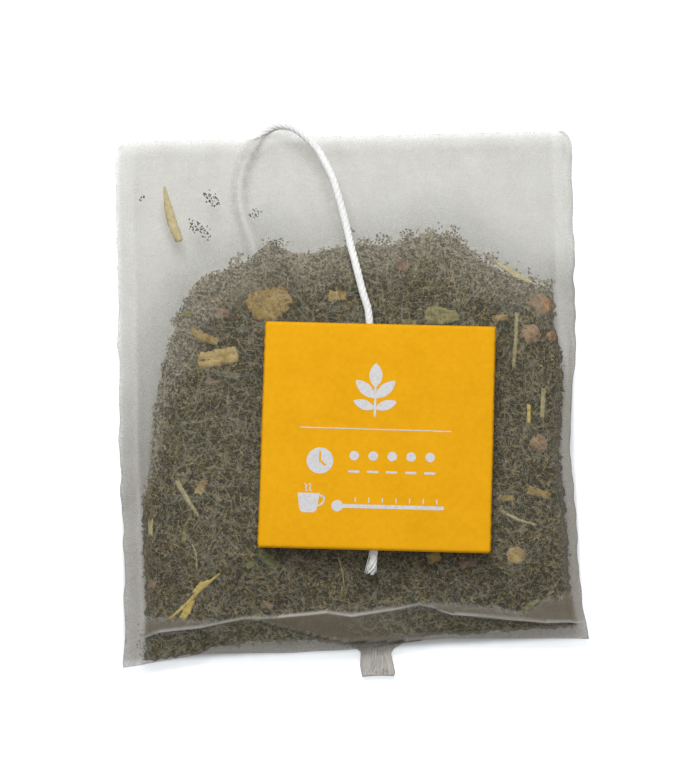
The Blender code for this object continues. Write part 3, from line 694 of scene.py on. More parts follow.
# The film's grey carries painted shade (low down, beside the tea, over the fold, under the creases) and
# painted light (haze over the tea's margin, pale along the thread beneath).
film_grey = mixed(tree, fibres, (0.24, 0.225, 0.175), (0.55, 0.52, 0.40))
film_grey = mixed(tree, from_points(tree, "haze"), film_grey, (0.43, 0.43, 0.38))
film_grey = mixed(tree, from_points(tree, "dust"), film_grey, (0.31, 0.285, 0.24))
film_grey = mixed(tree, from_points(tree, "veil"), film_grey, (0.19, 0.162, 0.118))
film_grey = mixed(tree, from_points(tree, "shade"), film_grey, (0.045, 0.04, 0.03))
pale = worked_out(tree, "MAXIMUM", from_points(tree, "crease"), from_points(tree, "weld_line"))
film_grey = mixed(tree, pale, film_grey, (0.52, 0.50, 0.45))
film_grey = mixed(tree, from_points(tree, "cotton_below"), film_grey, (0.93, 0.93, 0.92))
tree.links.new(film_grey, shader.inputs["Base Color"])
add_bump(tree, shader, fibres, 0.00003, 0.5)

film = add_object("film", mesh, see_through)
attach(film, "root")
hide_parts("film_bag")


# Tea. A bed of finely cut dry leaf fills the lower two thirds of the bag, and a thinner one lies on
# the bottom panel. Both are dark, closed and grained, and carry the loose crumbs.

BED_DROP = 0.95 * MM
PANEL_DROP = 0.6 * MM
BED_GRAIN = 0.14 * MM
BED_COLUMNS = 150
BED_ROWS = 140
BED_PANEL_ROWS = 14
BED_INSET = 1.3 * MM

cut_leaf, tree, shader = new_material("cut tea leaf", (0.06, 0.055, 0.035), 0.95)
place = object_place(tree)
cells = add_node(tree, "ShaderNodeTexVoronoi", {"Vector": place, "Scale": 2400.0, "Randomness": 1.0})
bits = add_ramp(tree, cells.outputs["Color"], [
    (0.0, (0.014, 0.011, 0.004)), (1.0, (0.13, 0.105, 0.035)), (0.35, (0.03, 0.025, 0.008)),
    (0.7, (0.06, 0.05, 0.016)),
])
# Painted haze: near the tea's upper line the leaf is painted paler, where the film stands off it.
bits = mixed(tree, from_points(tree, "veiled"), bits, (0.43, 0.375, 0.285))
tree.links.new(bits, shader.inputs["Base Color"])
add_bump(tree, shader, cells.outputs["Distance"], 0.0002, 0.8)
shader.inputs["Specular IOR Level"].default_value = 0.1


def bed_shell(name, low_line, high_line, row_count, drop, inset):
    """A closed bed of tea between two lines across the bag."""
    share = np.linspace(0, 1, row_count + 1)[:, None]
    middle = np.linspace(-1, 1, BED_COLUMNS + 1) + 0 * share
    x = middle * INNER_HALF
    for _ in range(3):
        ragged = 0.30 * MM * ripple(x, 0 * x, 3.8 * MM, 33) + 0.16 * MM * ripple(x, 0 * x, 0.9 * MM, 34)
        start = across(low_line, x) + 0.3 * inset + ragged
        end = np.maximum(across(high_line, x) - inset, start + 0.2 * MM)
        y = start + (end - start) * share
        ragged_side = 0.2 * MM * (ripple(0 * x, y, 2.4 * MM, 35) + ripple(0 * x, y, 1.0 * MM, 36))
        x = middle * (inner_edge(x, y) - 0.5 * MM + ragged_side)
    low = np.maximum(
        under(x, y) + 0.3 * MM,
        1.45 * MM * smooth((2.8 * MM - distance_to(back_run, x, y)) / (1.6 * MM)),
    )
    grain = ripple(x, y, 0.9 * MM, 31) + ripple(x, y, 1.6 * MM, 32)
    top = film_height(x, y) - drop * (0.25 + 0.75 * inside_welds(x, y)) + BED_GRAIN * grain
    top = np.maximum(top, low + 0.08 * MM)
    mesh, rim = closed_shell(name, x, y, top, low)
    lay_out(mesh, "veiled", 0.8 * veiled(x, y), rim)
    return mesh


bm = bmesh.new()
for name, low_line, high_line, row_count, drop, inset in (
    ("main_bed", TEA_FOOT, TEA_LINE, BED_ROWS, BED_DROP, BED_INSET),
    ("panel_bed", PANEL_FOOT, FRONT_FOLD, BED_PANEL_ROWS, PANEL_DROP, 0.15 * MM),
):
    bed = bed_shell(name, low_line, high_line, row_count, drop, inset)
    bm.from_mesh(bed)
    bpy.data.meshes.remove(bed)
tea = add_piece("tea", bm, cut_leaf)
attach(tea, "root")
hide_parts("tea_bed")


# Larger scraps of the mix: straws, stems, chips of peel and leaf, a ribbed stalk. Each is a thin
# closed strip that lies against the front film, with uneven edges and a grain along it.

SCRAP_DEPTH = 0.42 * MM
STRIP_STEPS = 22
STRIP_CELLS = 10


def dry_plant(name, dark, middle, pale, streak):
    """A matte dried plant finish, streaked and specked between three tones."""
    made, tree, shader = new_material(name, middle, 0.85)
    place = object_place(tree)
    broad = noise(tree, place, 700.0, 3.0, 0.6)
    fine = noise(tree, place, streak, 3.0, 0.7)
    both = worked_out(tree, "MULTIPLY_ADD", worked_out(tree, "SUBTRACT", fine, 0.5), 0.8, broad)
    tones = add_ramp(tree, both, [(0.3, dark), (0.72, pale), (0.5, middle)])
    tree.links.new(tones, shader.inputs["Base Color"])
    add_bump(tree, shader, fine, 0.00008, 0.6)
    shader.inputs["Specular IOR Level"].default_value = 0.15
    return made


straw = dry_plant("yellow straw", (0.42, 0.29, 0.04), (0.68, 0.50, 0.10), (0.82, 0.67, 0.22), 2500.0)
stem_wood = dry_plant("dry stem", (0.26, 0.21, 0.09), (0.42, 0.36, 0.17), (0.55, 0.50, 0.28), 2500.0)
peel_skin = dry_plant("dry peel", (0.20, 0.10, 0.03), (0.33, 0.22, 0.055), (0.44, 0.31, 0.09), 2200.0)
stalk_wood = dry_plant("ribbed stalk", (0.30, 0.18, 0.05), (0.48, 0.34, 0.11), (0.60, 0.45, 0.18), 2600.0)
leaf_green = dry_plant("green leaf", (0.07, 0.08, 0.02), (0.15, 0.16, 0.045), (0.25, 0.26, 0.08), 2300.0)
olive = dry_plant("olive flake", (0.14, 0.12, 0.03), (0.24, 0.21, 0.065), (0.33, 0.29, 0.10), 2300.0)
russet = dry_plant("russet chip", (0.11, 0.06, 0.035), (0.20, 0.115, 0.07), (0.29, 0.18, 0.11), 2300.0)
# A paler copy of the straw: a painted haze, where the film stands off it.
hazy_painted_straw = dry_plant("straw painted hazy", (0.60, 0.48, 0.21), (0.72, 0.60, 0.30), (0.80, 0.70, 0.42), 2500.0)

footprints = []


def add_strip(bm, points, widths, thickness, arch=0.0, ribs=0, lift=0.0, seed=1):
    """A strip along the points, in shares of the bag. widths are in millimetres, one per point."""
    path = np.array(on_bag(points))
    run = np.concatenate([[0], np.cumsum(np.hypot(*np.diff(path, axis=0).T))])
    t = np.linspace(0, run[-1], STRIP_STEPS + 1)
    mid_x, mid_y = np.interp(t, run, path[:, 0]), np.interp(t, run, path[:, 1])
    way_x, way_y = np.gradient(mid_x), np.gradient(mid_y)
    size = np.hypot(way_x, way_y)
    wide = np.interp(t, run, np.array(widths) * MM / 2)
    s = np.linspace(-1, 1, STRIP_CELLS + 1)
    rough = 0.12 * ripple(t * 40, t * 40, 25 * MM, seed) + 0.08 * ripple(t * 90, t * 90, 20 * MM, seed + 1)
    half = (wide * (1 + rough))[:, None]
    ends = 0.18 * MM * ripple(s * MM, s * MM, 1.1 * MM, seed + 5)[None, :]
    ends = ends * np.linspace(-1, 1, len(t))[:, None]
    x = mid_x[:, None] - way_y[:, None] / size[:, None] * half * s + ends * way_x[:, None] / size[:, None]
    y = mid_y[:, None] + way_x[:, None] / size[:, None] * half * s + ends * way_y[:, None] / size[:, None]
    relief = -arch * MM * s**2
    if ribs:
        relief = relief + 0.32 * MM * (np.abs(np.sin(math.pi * ribs * (s + 1) / 2)) ** 0.6 - 1)
    top = front(x, y) - SCRAP_DEPTH + lift * MM + relief + 0.04 * MM * ripple(x, y, 1.2 * MM, seed + 9)
    mesh, _ = closed_shell("strip", x, y, top, top - thickness * MM)
    bm.from_mesh(mesh)
    bpy.data.meshes.remove(mesh)
    footprints.append((on_bag(points), max(widths) * MM / 2))


SCRAPS = (
    ("straw_upper", hazy_painted_straw, ((-0.796, 0.812), (-0.782, 0.74), (-0.762, 0.668), (-0.732, 0.598)),
     (0.35, 0.95, 1.3, 1.0), 0.3, 0.25, 0),
    ("straw_lower", straw, ((-0.80, -0.832), (-0.73, -0.785), (-0.66, -0.73), (-0.572, -0.674)),
     (0.4, 0.5, 0.5, 0.3), 0.35, 0.12, 0),
    ("straw_split", straw, ((-0.742, -0.834), (-0.718, -0.80), (-0.688, -0.765)),
     (0.95, 1.05, 0.35), 0.3, 0.1, 0),
    ("stem_left", stem_wood, ((-0.756, -0.324), (-0.70, -0.41), (-0.66, -0.466)),
     (0.75, 0.65, 0.45), 0.4, 0.2, 0),
    ("stem_right", stem_wood, ((0.739, 0.282), (0.73, 0.17), (0.716, 0.065)), (0.6, 0.6, 0.5), 0.4, 0.2, 0),
    ("stalk_inner", straw, ((0.779, -0.067), (0.776, -0.142)), (0.6, 0.5), 0.4, 0.15, 0),
    ("stalk_outer", stem_wood, ((0.846, -0.003), (0.834, -0.12)), (0.7, 0.6), 0.4, 0.15, 0),
    ("straw_thin", stem_wood, ((0.642, -0.471), (0.72, -0.505), (0.797, -0.522)),
     (0.5, 0.45, 0.35), 0.3, 0.1, 0),
    ("stem_green", leaf_green, ((0.721, -0.835), (0.765, -0.81), (0.805, -0.79)),
     (0.9, 0.9, 0.6), 0.4, 0.2, 0),
    ("leaf_bit", peel_skin, ((-0.662, -0.378), (-0.631, -0.33)), (1.2, 1.0), 0.3, 0.1, 0),
    ("chip_pale", stem_wood, ((-0.872, -0.461), (-0.873, -0.521)), (0.75, 0.7), 0.3, 0.05, 0),
    ("leaf_olive", leaf_green, ((-0.716, -0.49), (-0.73, -0.567)), (0.8, 0.6), 0.3, 0.1, 0),
    ("strip_left", peel_skin, ((-0.683, 0.24), (-0.62, 0.205), (-0.562, 0.19)),
     (1.1, 1.4, 1.0), 0.4, 0.15, 0),
    ("strip_middle", peel_skin, ((-0.083, 0.353), (0.0, 0.351)), (1.6, 1.2), 0.4, 0.1, 0),
    ("strip_upper", peel_skin, ((0.63, 0.254), (0.7, 0.26)), (1.0, 0.9), 0.4, 0.1, 0),
    ("sliver_upper", hazy_painted_straw, ((0.658, 0.48), (0.705, 0.455), (0.75, 0.428), (0.812, 0.403)),
     (0.5, 0.8, 0.8, 0.4), 0.3, 0.1, 0),
    ("strip_lower", peel_skin, ((0.763, -0.39), (0.862, -0.411)), (1.3, 1.0), 0.4, 0.1, 0),
    ("strip_small", peel_skin, ((0.628, -0.422), (0.706, -0.423)), (0.9, 0.8), 0.4, 0.1, 0),
    ("leaf_green", leaf_green, ((-0.403, -0.604), (-0.36, -0.63), (-0.318, -0.665)),
     (1.4, 1.5, 1.0), 0.3, 0.1, 0),
    ("ribbed_stalk", stalk_wood, ((-0.659, 0.118), (-0.57, 0.13), (-0.477, 0.143)),
     (2.5, 2.7, 2.6), 0.6, 0.1, 2),
)
# Smaller ones without a solid of their own: bark on the long straw, olive and russet flakes, hairs.
LOOSE_SCRAPS = (
    ("bark_flake", straw, ((-0.692, -0.742), (-0.655, -0.714), (-0.615, -0.70)), (0.4, 0.9, 0.4)),
    ("olive_flake_upper", olive, ((0.335, 0.262), (0.38, 0.27), (0.44, 0.262), (0.485, 0.27)),
     (2.3, 2.7, 1.9, 1.5)),
    ("olive_flake_middle", olive, ((0.24, 0.245), (0.30, 0.243)), (1.0, 0.9)),
    ("olive_flake_left", olive, ((-0.72, 0.315), (-0.68, 0.30)), (1.0, 0.8)),
    ("russet_flake_hazy", russet, ((-0.575, 0.30), (-0.515, 0.295)), (1.6, 1.3)),
    ("olive_flake_right", olive, ((0.60, 0.05), (0.655, 0.04)), (1.1, 0.9)),
    ("russet_flake_upper", russet, ((0.215, 0.475), (0.275, 0.455)), (1.7, 1.5)),
    ("russet_flake_left", russet, ((-0.89, -0.695), (-0.848, -0.705)), (1.3, 1.1)),
    ("russet_flake_low", russet, ((-0.40, -0.785), (-0.352, -0.795)), (1.1, 0.9)),
    ("russet_flake_right", russet, ((0.452, -0.665), (0.53, -0.66)), (0.9, 0.8)),
    ("brown_flake", peel_skin, ((0.325, -0.64), (0.375, -0.63)), (1.3, 1.2)),
    ("russet_flake_middle", russet, ((-0.62, 0.045), (-0.565, 0.03)), (1.1, 0.9)),
    ("pale_hair_low", stem_wood, ((-0.062, -0.628), (-0.045, -0.68), (-0.04, -0.73)), (0.2, 0.26, 0.2)),
    ("pale_hair_left", stem_wood, ((-0.69, -0.565), (-0.672, -0.61), (-0.674, -0.66)), (0.2, 0.25, 0.2)),
    ("pale_hair_upper", stem_wood, ((0.46, 0.51), (0.50, 0.495), (0.555, 0.498)), (0.16, 0.2, 0.16)),
    ("green_flake_low", leaf_green, ((-0.46, -0.655), (-0.425, -0.64)), (1.0, 0.8)),
)
SCRAPS += tuple(entry + (0.3, 0.1, 0) for entry in LOOSE_SCRAPS)
for number, (name, finish, points, widths, thickness, arch, ribs) in enumerate(SCRAPS):
    bm = bmesh.new()
    add_strip(bm, points, widths, thickness, arch, ribs, seed=40 + 7 * number)
    scrap = add_piece(name + "_dry", bm, finish)
    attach(scrap, "root")
    if name in nodes:
        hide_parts(name)


# Dried berries, a seed disc and a chunk of peel. The berries are shrivelled balls, flattened between
# the tea and the film.

BALL_DETAIL = 4

berry_skin = dry_plant("berry skin", (0.20, 0.11, 0.06), (0.33, 0.20, 0.11), (0.45, 0.30, 0.18), 2600.0)


def add_ball(bm, place, wide, deep, half_height, wrinkle, seed):
    """A shrivelled ball at this place, in shares of the bag; its radii are in millimetres."""
    x, y = on_bag([place])[0]
    seat = float(front(np.array(x), np.array(y))) - SCRAP_DEPTH - half_height * MM + 0.12 * MM
    made = bmesh.ops.create_icosphere(bm, subdivisions=BALL_DETAIL, radius=1.0)
    spots = np.array([v.co for v in made["verts"]])
    waves = ripple(spots[:, 0] + 3 * spots[:, 2], spots[:, 1] - 2 * spots[:, 2], 0.9, seed)
    for vertex, wave in zip(made["verts"], waves):
        swell = 1 + wrinkle * wave
        vertex.co = Vector((
            x + vertex.co.x * wide * MM * swell, y + vertex.co.y * deep * MM * swell,
            seat + vertex.co.z * half_height * MM * swell,
        ))
    footprints.append(([(x - 1e-5, y), (x + 1e-5, y)], 1.0 * wide * MM))


for name, place, wide, deep, half_height, finish, wrinkle in (
    ("berry_upper", (0.834, 0.312), 1.75, 1.55, 0.7, berry_skin, 0.12),
    ("berry_middle", (0.79, 0.2), 1.45, 1.35, 0.7, berry_skin, 0.14),
    ("berry_small", (0.885, 0.194), 0.75, 0.8, 0.4, berry_skin, 0.1),
    ("berry_lower", (0.812, -0.215), 1.3, 1.25, 0.7, berry_skin, 0.12),
    ("seed_disc", (0.701, -0.633), 1.2, 1.15, 0.35, stalk_wood, 0.04),
):
    bm = bmesh.new()
    add_ball(bm, place, wide, deep, half_height, wrinkle, len(name))
    fruit = add_piece(name + "_dry", bm, finish)
    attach(fruit, "root")
    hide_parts(name)

bm = bmesh.new()
add_strip(
    bm, ((-0.436, 0.36), (-0.405, 0.345), (-0.352, 0.322), (-0.288, 0.335), (-0.243, 0.318)),
    (1.4, 3.4, 5.3, 4.4, 1.6), 0.8, 0.1, lift=0.05, seed=301,
)
peel = add_piece("peel_chunk_dry", bm, peel_skin)
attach(peel, "root")
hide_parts("peel_chunk")


# Loose crumbs. Cut leaf in specks, flakes and slivers, strewn over the tea beds and thinning out at
# their edges, with a few small clusters clinging to the film above.

SOWING_STEP = 0.42 * MM
EDGE_FADE = 1.7 * MM
SOWING_DEPTH = 0.62 * MM
MARGIN_DROP = 0.9 * MM
CLUSTERS = (
    ((-0.595, 0.76), 1.45, 0.8, -0.6), ((-0.645, 0.643), 2.2, 0.65, -0.62),
    ((-0.394, 0.70), 0.75, 0.85, 0.3), ((-0.298, 0.562), 1.3, 1.3, 0.0),
    ((-0.90, 0.775), 0.16, 0.16, 0.0), ((0.028, 0.615), 0.4, 0.3, 0.0),
    ((-0.41, 0.50), 1.6, 0.7, 0.2), ((0.466, 0.59), 0.75, 1.7, -0.35), ((0.15, 0.585), 1.2, 0.7, 0.0),
    ((-0.915, -0.905), 0.6, 2.4, 0.05), ((0.89, -0.912), 0.9, 0.18, -0.7),
)


def strewing(shape):
    """A tree that strews bits of one shape over a surface, as thickly as its cover says."""
    tree = bpy.data.node_groups.new("strew " + shape, "GeometryNodeTree")
    sockets = tree.interface
    sockets.new_socket("Surface", in_out="INPUT", socket_type="NodeSocketGeometry")
    sockets.new_socket("Cover", in_out="INPUT", socket_type="NodeSocketString")
    for label in ("Per square metre", "Length", "Width", "Thickness", "Depth", "Tilt"):
        sockets.new_socket(label, in_out="INPUT", socket_type="NodeSocketFloat")
    sockets.new_socket("Seed", in_out="INPUT", socket_type="NodeSocketInt")
    sockets.new_socket("Finish", in_out="INPUT", socket_type="NodeSocketMaterial")
    sockets.new_socket("Bits", in_out="OUTPUT", socket_type="NodeSocketGeometry")
    given = tree.nodes.new("NodeGroupInput").outputs

    def chance_of(low, high, more_seed):
        node = add_node(tree, "FunctionNodeRandomValue", {2: low, 3: high}, data_type="FLOAT")
        seed = add_node(tree, "ShaderNodeMath", {0: given["Seed"], 1: float(more_seed)})
        tree.links.new(seed.outputs[0], node.inputs["Seed"])
        return node.outputs[1]

    cover = add_node(
        tree, "GeometryNodeInputNamedAttribute", {"Name": given["Cover"]}, data_type="FLOAT"
    )
    crowd = worked_out(tree, "MULTIPLY", cover.outputs["Attribute"], given["Per square metre"])
    sown = add_node(tree, "GeometryNodeDistributePointsOnFaces", {
        "Mesh": given["Surface"], "Density": crowd, "Seed": given["Seed"],
    })
    sunk = worked_out(tree, "MULTIPLY", chance_of(-1.0, 0.0, 1), given["Depth"])
    offset = add_node(tree, "ShaderNodeCombineXYZ", {"Z": sunk})
    settled = add_node(tree, "GeometryNodeSetPosition", {
        "Geometry": sown.outputs["Points"], "Offset": offset.outputs["Vector"],
    })
    if shape == "specks":
        bit = add_node(tree, "GeometryNodeMeshUVSphere", {"Segments": 4, "Rings": 2, "Radius": 0.5})
    elif shape == "flakes":
        bit = add_node(tree, "GeometryNodeMeshCylinder", {"Vertices": 4, "Radius": 0.5, "Depth": 1.0})
    else:
        bit = add_node(tree, "GeometryNodeMeshCube", {"Size": (1.0, 1.0, 1.0)})
    lean_x = worked_out(tree, "MULTIPLY", chance_of(-1.0, 1.0, 2), given["Tilt"])
    lean_y = worked_out(tree, "MULTIPLY", chance_of(-1.0, 1.0, 3), given["Tilt"])
    turned = add_node(tree, "ShaderNodeCombineXYZ", {
        "X": lean_x, "Y": lean_y, "Z": chance_of(-math.pi, math.pi, 4),
    })
    sized = add_node(tree, "ShaderNodeCombineXYZ", {
        "X": worked_out(tree, "MULTIPLY", chance_of(0.5, 1.5, 5), given["Length"]),
        "Y": worked_out(tree, "MULTIPLY", chance_of(0.6, 1.4, 6), given["Width"]),
        "Z": worked_out(tree, "MULTIPLY", chance_of(0.6, 1.4, 7), given["Thickness"]),
    })
    strewn = add_node(tree, "GeometryNodeInstanceOnPoints", {
        "Points": settled.outputs["Geometry"], "Instance": bit.outputs["Mesh"],
        "Rotation": turned.outputs["Vector"], "Scale": sized.outputs["Vector"],
    })
    tinted = add_node(tree, "GeometryNodeStoreNamedAttribute", {
        "Geometry": strewn.outputs["Instances"], "Name": "tint", "Value": chance_of(0.0, 1.0, 8),
    }, data_type="FLOAT", domain="INSTANCE")
    real = add_node(tree, "GeometryNodeRealizeInstances", {"Geometry": tinted.outputs["Geometry"]})
    done = add_node(tree, "GeometryNodeSetMaterial", {
        "Geometry": real.outputs["Geometry"], "Material": given["Finish"],
    })
    tree.links.new(done.outputs["Geometry"], tree.nodes.new("NodeGroupOutput").inputs["Bits"])
    return tree


def strew(name, surface, tree, settings):
    """The bits as a plain mesh on an object of their own."""
    modifier = surface.modifiers.new("strewing", "NODES")
    modifier.node_group = tree
    named = {item.name: item.identifier for item in tree.interface.items_tree}
    for label, value in settings.items():
        modifier[named[label]] = value
    bpy.context.view_layer.update()
    graph = bpy.context.evaluated_depsgraph_get()
    mesh = bpy.data.meshes.new_from_object(surface.evaluated_get(graph))
    surface.modifiers.remove(modifier)
    mesh.name = name
    mesh.shade_flat()
    return add_object(name, mesh)


def crumb_material(name, tones, haze_weight):
    """A matte leaf finish whose tone differs from bit to bit and drifts over a few millimetres.
    Where the film stands off the tea it is painted paler by this share, a painted haze."""
    made, tree, shader = new_material(name, (0.06, 0.05, 0.03), 0.95)
    place = object_place(tree)
    own = from_points(tree, "tint")
    drift = noise(tree, place, 280.0, 2.0, 0.6)
    drift = worked_out(tree, "MULTIPLY_ADD", worked_out(tree, "SUBTRACT", drift, 0.5), 2.2, own)
    stops = [(k / (len(tones) - 1), tone) for k, tone in enumerate(tones)]
    colour = add_ramp(tree, drift, [stops[0], stops[-1]] + stops[1:-1])
    # Painted haze: paler where the film stands off the tea.
    haze_paint = worked_out(tree, "MULTIPLY", from_points(tree, "veiled"), haze_weight)
    colour = mixed(tree, haze_paint, colour, (0.47, 0.405, 0.31))
    tree.links.new(colour, shader.inputs["Base Color"])
    shader.inputs["Specular IOR Level"].default_value = 0.1
    return made


steps_x, steps_y = round(2 * HALF_WIDTH / SOWING_STEP), round(2 * HALF_LENGTH / SOWING_STEP)
sow_x, sow_y = np.meshgrid(
    np.linspace(-HALF_WIDTH, HALF_WIDTH, steps_x), np.linspace(-HALF_LENGTH, TOP_EDGE, steps_y)
)
uneven = 0.9 * MM * ripple(sow_x, sow_y, 2.6 * MM, 51) + 0.5 * MM * ripple(sow_x, sow_y, 1.1 * MM, 52)
# The crumbs' margin dips left of the middle, and reaches up to the hazy-painted straw on the right.
dip = 0.9 * MM * smooth(1 - np.abs(sow_x / HALF_WIDTH + 0.2) / 0.35)
dip = dip - 0.7 * MM * smooth((sow_x / HALF_WIDTH - 0.58) / 0.1)
into_tea = across(TEA_LINE, sow_x) - MARGIN_DROP - dip - sow_y + uneven
cover = np.clip(into_tea / EDGE_FADE + 0.3, 0.0, 1.0)
from_side = inner_edge(sow_x, sow_y) - np.abs(sow_x)
cover *= np.clip((from_side - 0.45 * MM + 0.3 * uneven) / (0.7 * MM), 0.0, 1.0)
fold, foot = across(FRONT_FOLD, sow_x), across(TEA_FOOT, sow_x)
to_right = smooth(sow_x / HALF_WIDTH / 0.5)
foot_fade = (0.6 + 1.8 * to_right) * MM
cover *= np.clip((sow_y - foot + 0.5 * uneven + 0.5 * MM * to_right) / foot_fade, 0.0, 1.0) + (sow_y < fold)
cover *= np.clip((sow_y - across(PANEL_FOOT, sow_x) + 0.3 * uneven) / (0.5 * MM), 0.0, 1.0)
cover = np.where(sow_y < fold, 0.55 * cover, cover)
on_film = np.clip((sow_y - across(BACK_FOLD, sow_x) - 0.75 * MM) / (0.3 * MM), 0.0, 1.0)
for points, half in footprints:
    cover *= 0.06 + 0.94 * smooth((distance_to(points, sow_x, sow_y) - half + 0.3 * MM) / (0.5 * MM))
leaf_cover = cover * on_film
for place, wide, deep, turn in CLUSTERS:
    x, y = on_bag([place])[0]
    along = (sow_x - x) * math.cos(turn) + (sow_y - y) * math.sin(turn)
    aside = (sow_y - y) * math.cos(turn) - (sow_x - x) * math.sin(turn)
    spot = 1 - smooth((np.hypot(along / (wide * MM), aside / (deep * MM)) - 0.6) / 0.5)
    cover = np.maximum(cover, 1.3 * spot)
cover *= on_film
sow_z = film_height(sow_x, sow_y) - SOWING_DEPTH * (0.5 + 0.5 * inside_welds(sow_x, sow_y))
sow_z = np.where(sow_y < fold, np.maximum(sow_z, 1.6 * MM), sow_z)
index = np.arange(sow_x.size).reshape(sow_x.shape)
corners = [c.reshape(-1) for c in (index[:-1, :-1], index[:-1, 1:], index[1:, 1:], index[1:, :-1])]
kept = np.max([cover.reshape(-1)[c] for c in corners], axis=0) > 0.01
mesh = bpy.data.meshes.new("sowing")
mesh.from_pydata(
    np.stack([sow_x, sow_y, sow_z], axis=-1).reshape(-1, 3).tolist(), [],
    np.stack(corners, axis=-1)[kept].tolist(),
)
for name, values in (
    ("speck_cover", cover), ("leaf_cover", leaf_cover), ("veiled", veiled(sow_x, sow_y)),
):
    layer = mesh.attributes.new(name, "FLOAT", "POINT")
    layer.data.foreach_set("value", values.reshape(-1).astype(np.float32))
sowing = add_object("sowing", mesh)

dark_crumb = crumb_material("dark tea crumb", (
    (0.008, 0.007, 0.004), (0.020, 0.018, 0.006), (0.014, 0.018, 0.008), (0.042, 0.032, 0.010),
    (0.026, 0.019, 0.014), (0.065, 0.052, 0.016),
), 0.22)
leaf_crumb = crumb_material("leaf tea crumb", (
    (0.048, 0.037, 0.009), (0.128, 0.104, 0.025), (0.092, 0.087, 0.030), (0.158, 0.100, 0.038),
    (0.178, 0.130, 0.028), (0.084, 0.052, 0.020), (0.196, 0.145, 0.032),
), 0.85)
pale_crumb = crumb_material("pale tea stalk", (
    (0.10, 0.085, 0.030), (0.21, 0.17, 0.06), (0.30, 0.24, 0.09), (0.17, 0.13, 0.045),
), 0.6)
for name, shape, finish, settings in (
    ("tea_specks", "specks", dark_crumb, (9.0e6, 0.38, 0.29, 0.26, 0.16, 3.1, 11)),
    ("tea_flakes", "flakes", leaf_crumb, (4.8e6, 0.68, 0.48, 0.10, 0.40, 0.35, 23)),
    ("tea_slivers", "slivers", pale_crumb, (0.5e6, 0.75, 0.17, 0.12, 0.25, 0.25, 37)),
):
    count, length, width, thickness, depth, tilt, seed = settings
    crumbs = strew(name, sowing, strewing(shape), {
        "Cover": "speck_cover" if shape == "specks" else "leaf_cover",
        "Per square metre": count, "Length": length * MM, "Width": width * MM,
        "Thickness": thickness * MM, "Depth": depth * MM, "Tilt": tilt, "Seed": seed,
        "Finish": finish,
    })
    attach(crumbs, "root")
bpy.data.objects.remove(sowing, do_unlink=True)


# Tag. A square of uncoated card, printed orange-yellow, stuck on the thread. It lies nearly flat on
# the thread and the bag, its edges a little worn from cutting.

TAG_SIDE = 30.0 * MM
TAG_TURN = math.radians(-2.9)
TAG_MIDDLE = Vector((3.54, -7.009, 8.17)) * MM
TAG_THICKNESS = 0.3 * MM
TAG_CELLS = 90

card, tree, shader = new_material("printed card", (0.86, 0.40, 0.02), 0.85)
place = object_place(tree)
paper = noise(tree, place, 1500.0, 6.0, 0.7)
blotch = noise(tree, place, 160.0, 3.0, 0.5)
tone = worked_out(tree, "MULTIPLY_ADD", worked_out(tree, "SUBTRACT", blotch, 0.5), 0.5, paper)
ink = add_ramp(tree, tone, [(0.3, (0.79, 0.375, 0.006)), (0.7, (0.88, 0.43, 0.010))])
tree.links.new(ink, shader.inputs["Base Color"])
shader.inputs["Specular IOR Level"].default_value = 0.05
add_bump(tree, shader, paper, 0.00004, 0.35)

tag_turn = Matrix.Translation(TAG_MIDDLE) @ Matrix.Rotation(TAG_TURN, 4, "Z")
s = np.linspace(-TAG_SIDE / 2, TAG_SIDE / 2, TAG_CELLS + 1)
card_x, card_y = np.meshgrid(s, s)
nick = 0.05 * MM * ripple(card_x, card_y, 1.6 * MM, 61) * (np.abs(card_x) > TAG_SIDE / 2 - 1e-6)


def card_height(x, y):
    """How far the card bows from flat, on its own square."""
    return 0.08 * MM * ripple(np.asarray(x), np.asarray(y), 26 * MM, 62)


bow = card_height(card_x, card_y)
mesh, _ = closed_shell(
    "tag", card_x + nick, card_y, bow + TAG_THICKNESS / 2, bow - TAG_THICKNESS / 2
)
mesh.transform(tag_turn)
tag = add_object("tag_card", mesh, card)
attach(tag, "root")
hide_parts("tag")


# Print on the tag. White ink: a leaf sprig, a rule, a clock with five dots for the minutes, and a
# steaming cup with a thermometer.

INK_THICKNESS = 0.02 * MM
CLOCK = (-7.3, -3.4)

white_ink, tree, shader = new_material("white ink", (0.75, 0.75, 0.77), 0.7)
speckle = noise(tree, object_place(tree), 2500.0, 4.0, 0.7)
shade = add_ramp(tree, speckle, [(0.3, (0.56, 0.55, 0.54)), (0.55, (0.69, 0.69, 0.71))])
tree.links.new(shade, shader.inputs["Base Color"])


def add_ink(bm, outline, level=1.0):
    """A flat patch of ink with this outline, in millimetres from the middle of the tag."""
    low, high = [], []
    for u, v in outline:
        z = float(card_height(u * MM, v * MM)) + TAG_THICKNESS / 2
        low.append(bm.verts.new(tag_turn @ Vector((u * MM, v * MM, z - INK_THICKNESS))))
        high.append(bm.verts.new(tag_turn @ Vector((u * MM, v * MM, z + level * INK_THICKNESS))))
    bm.faces.new(high)
    bm.faces.new(list(reversed(low)))
    for k in range(len(low)):
        n = (k + 1) % len(low)
        bm.faces.new((low[k], low[n], high[n], high[k]))


def round_dot(u, v, radius, count=40):
    turns = [2 * math.pi * k / count for k in range(count)]
    return [(u + radius * math.cos(a), v + radius * math.sin(a)) for a in turns]


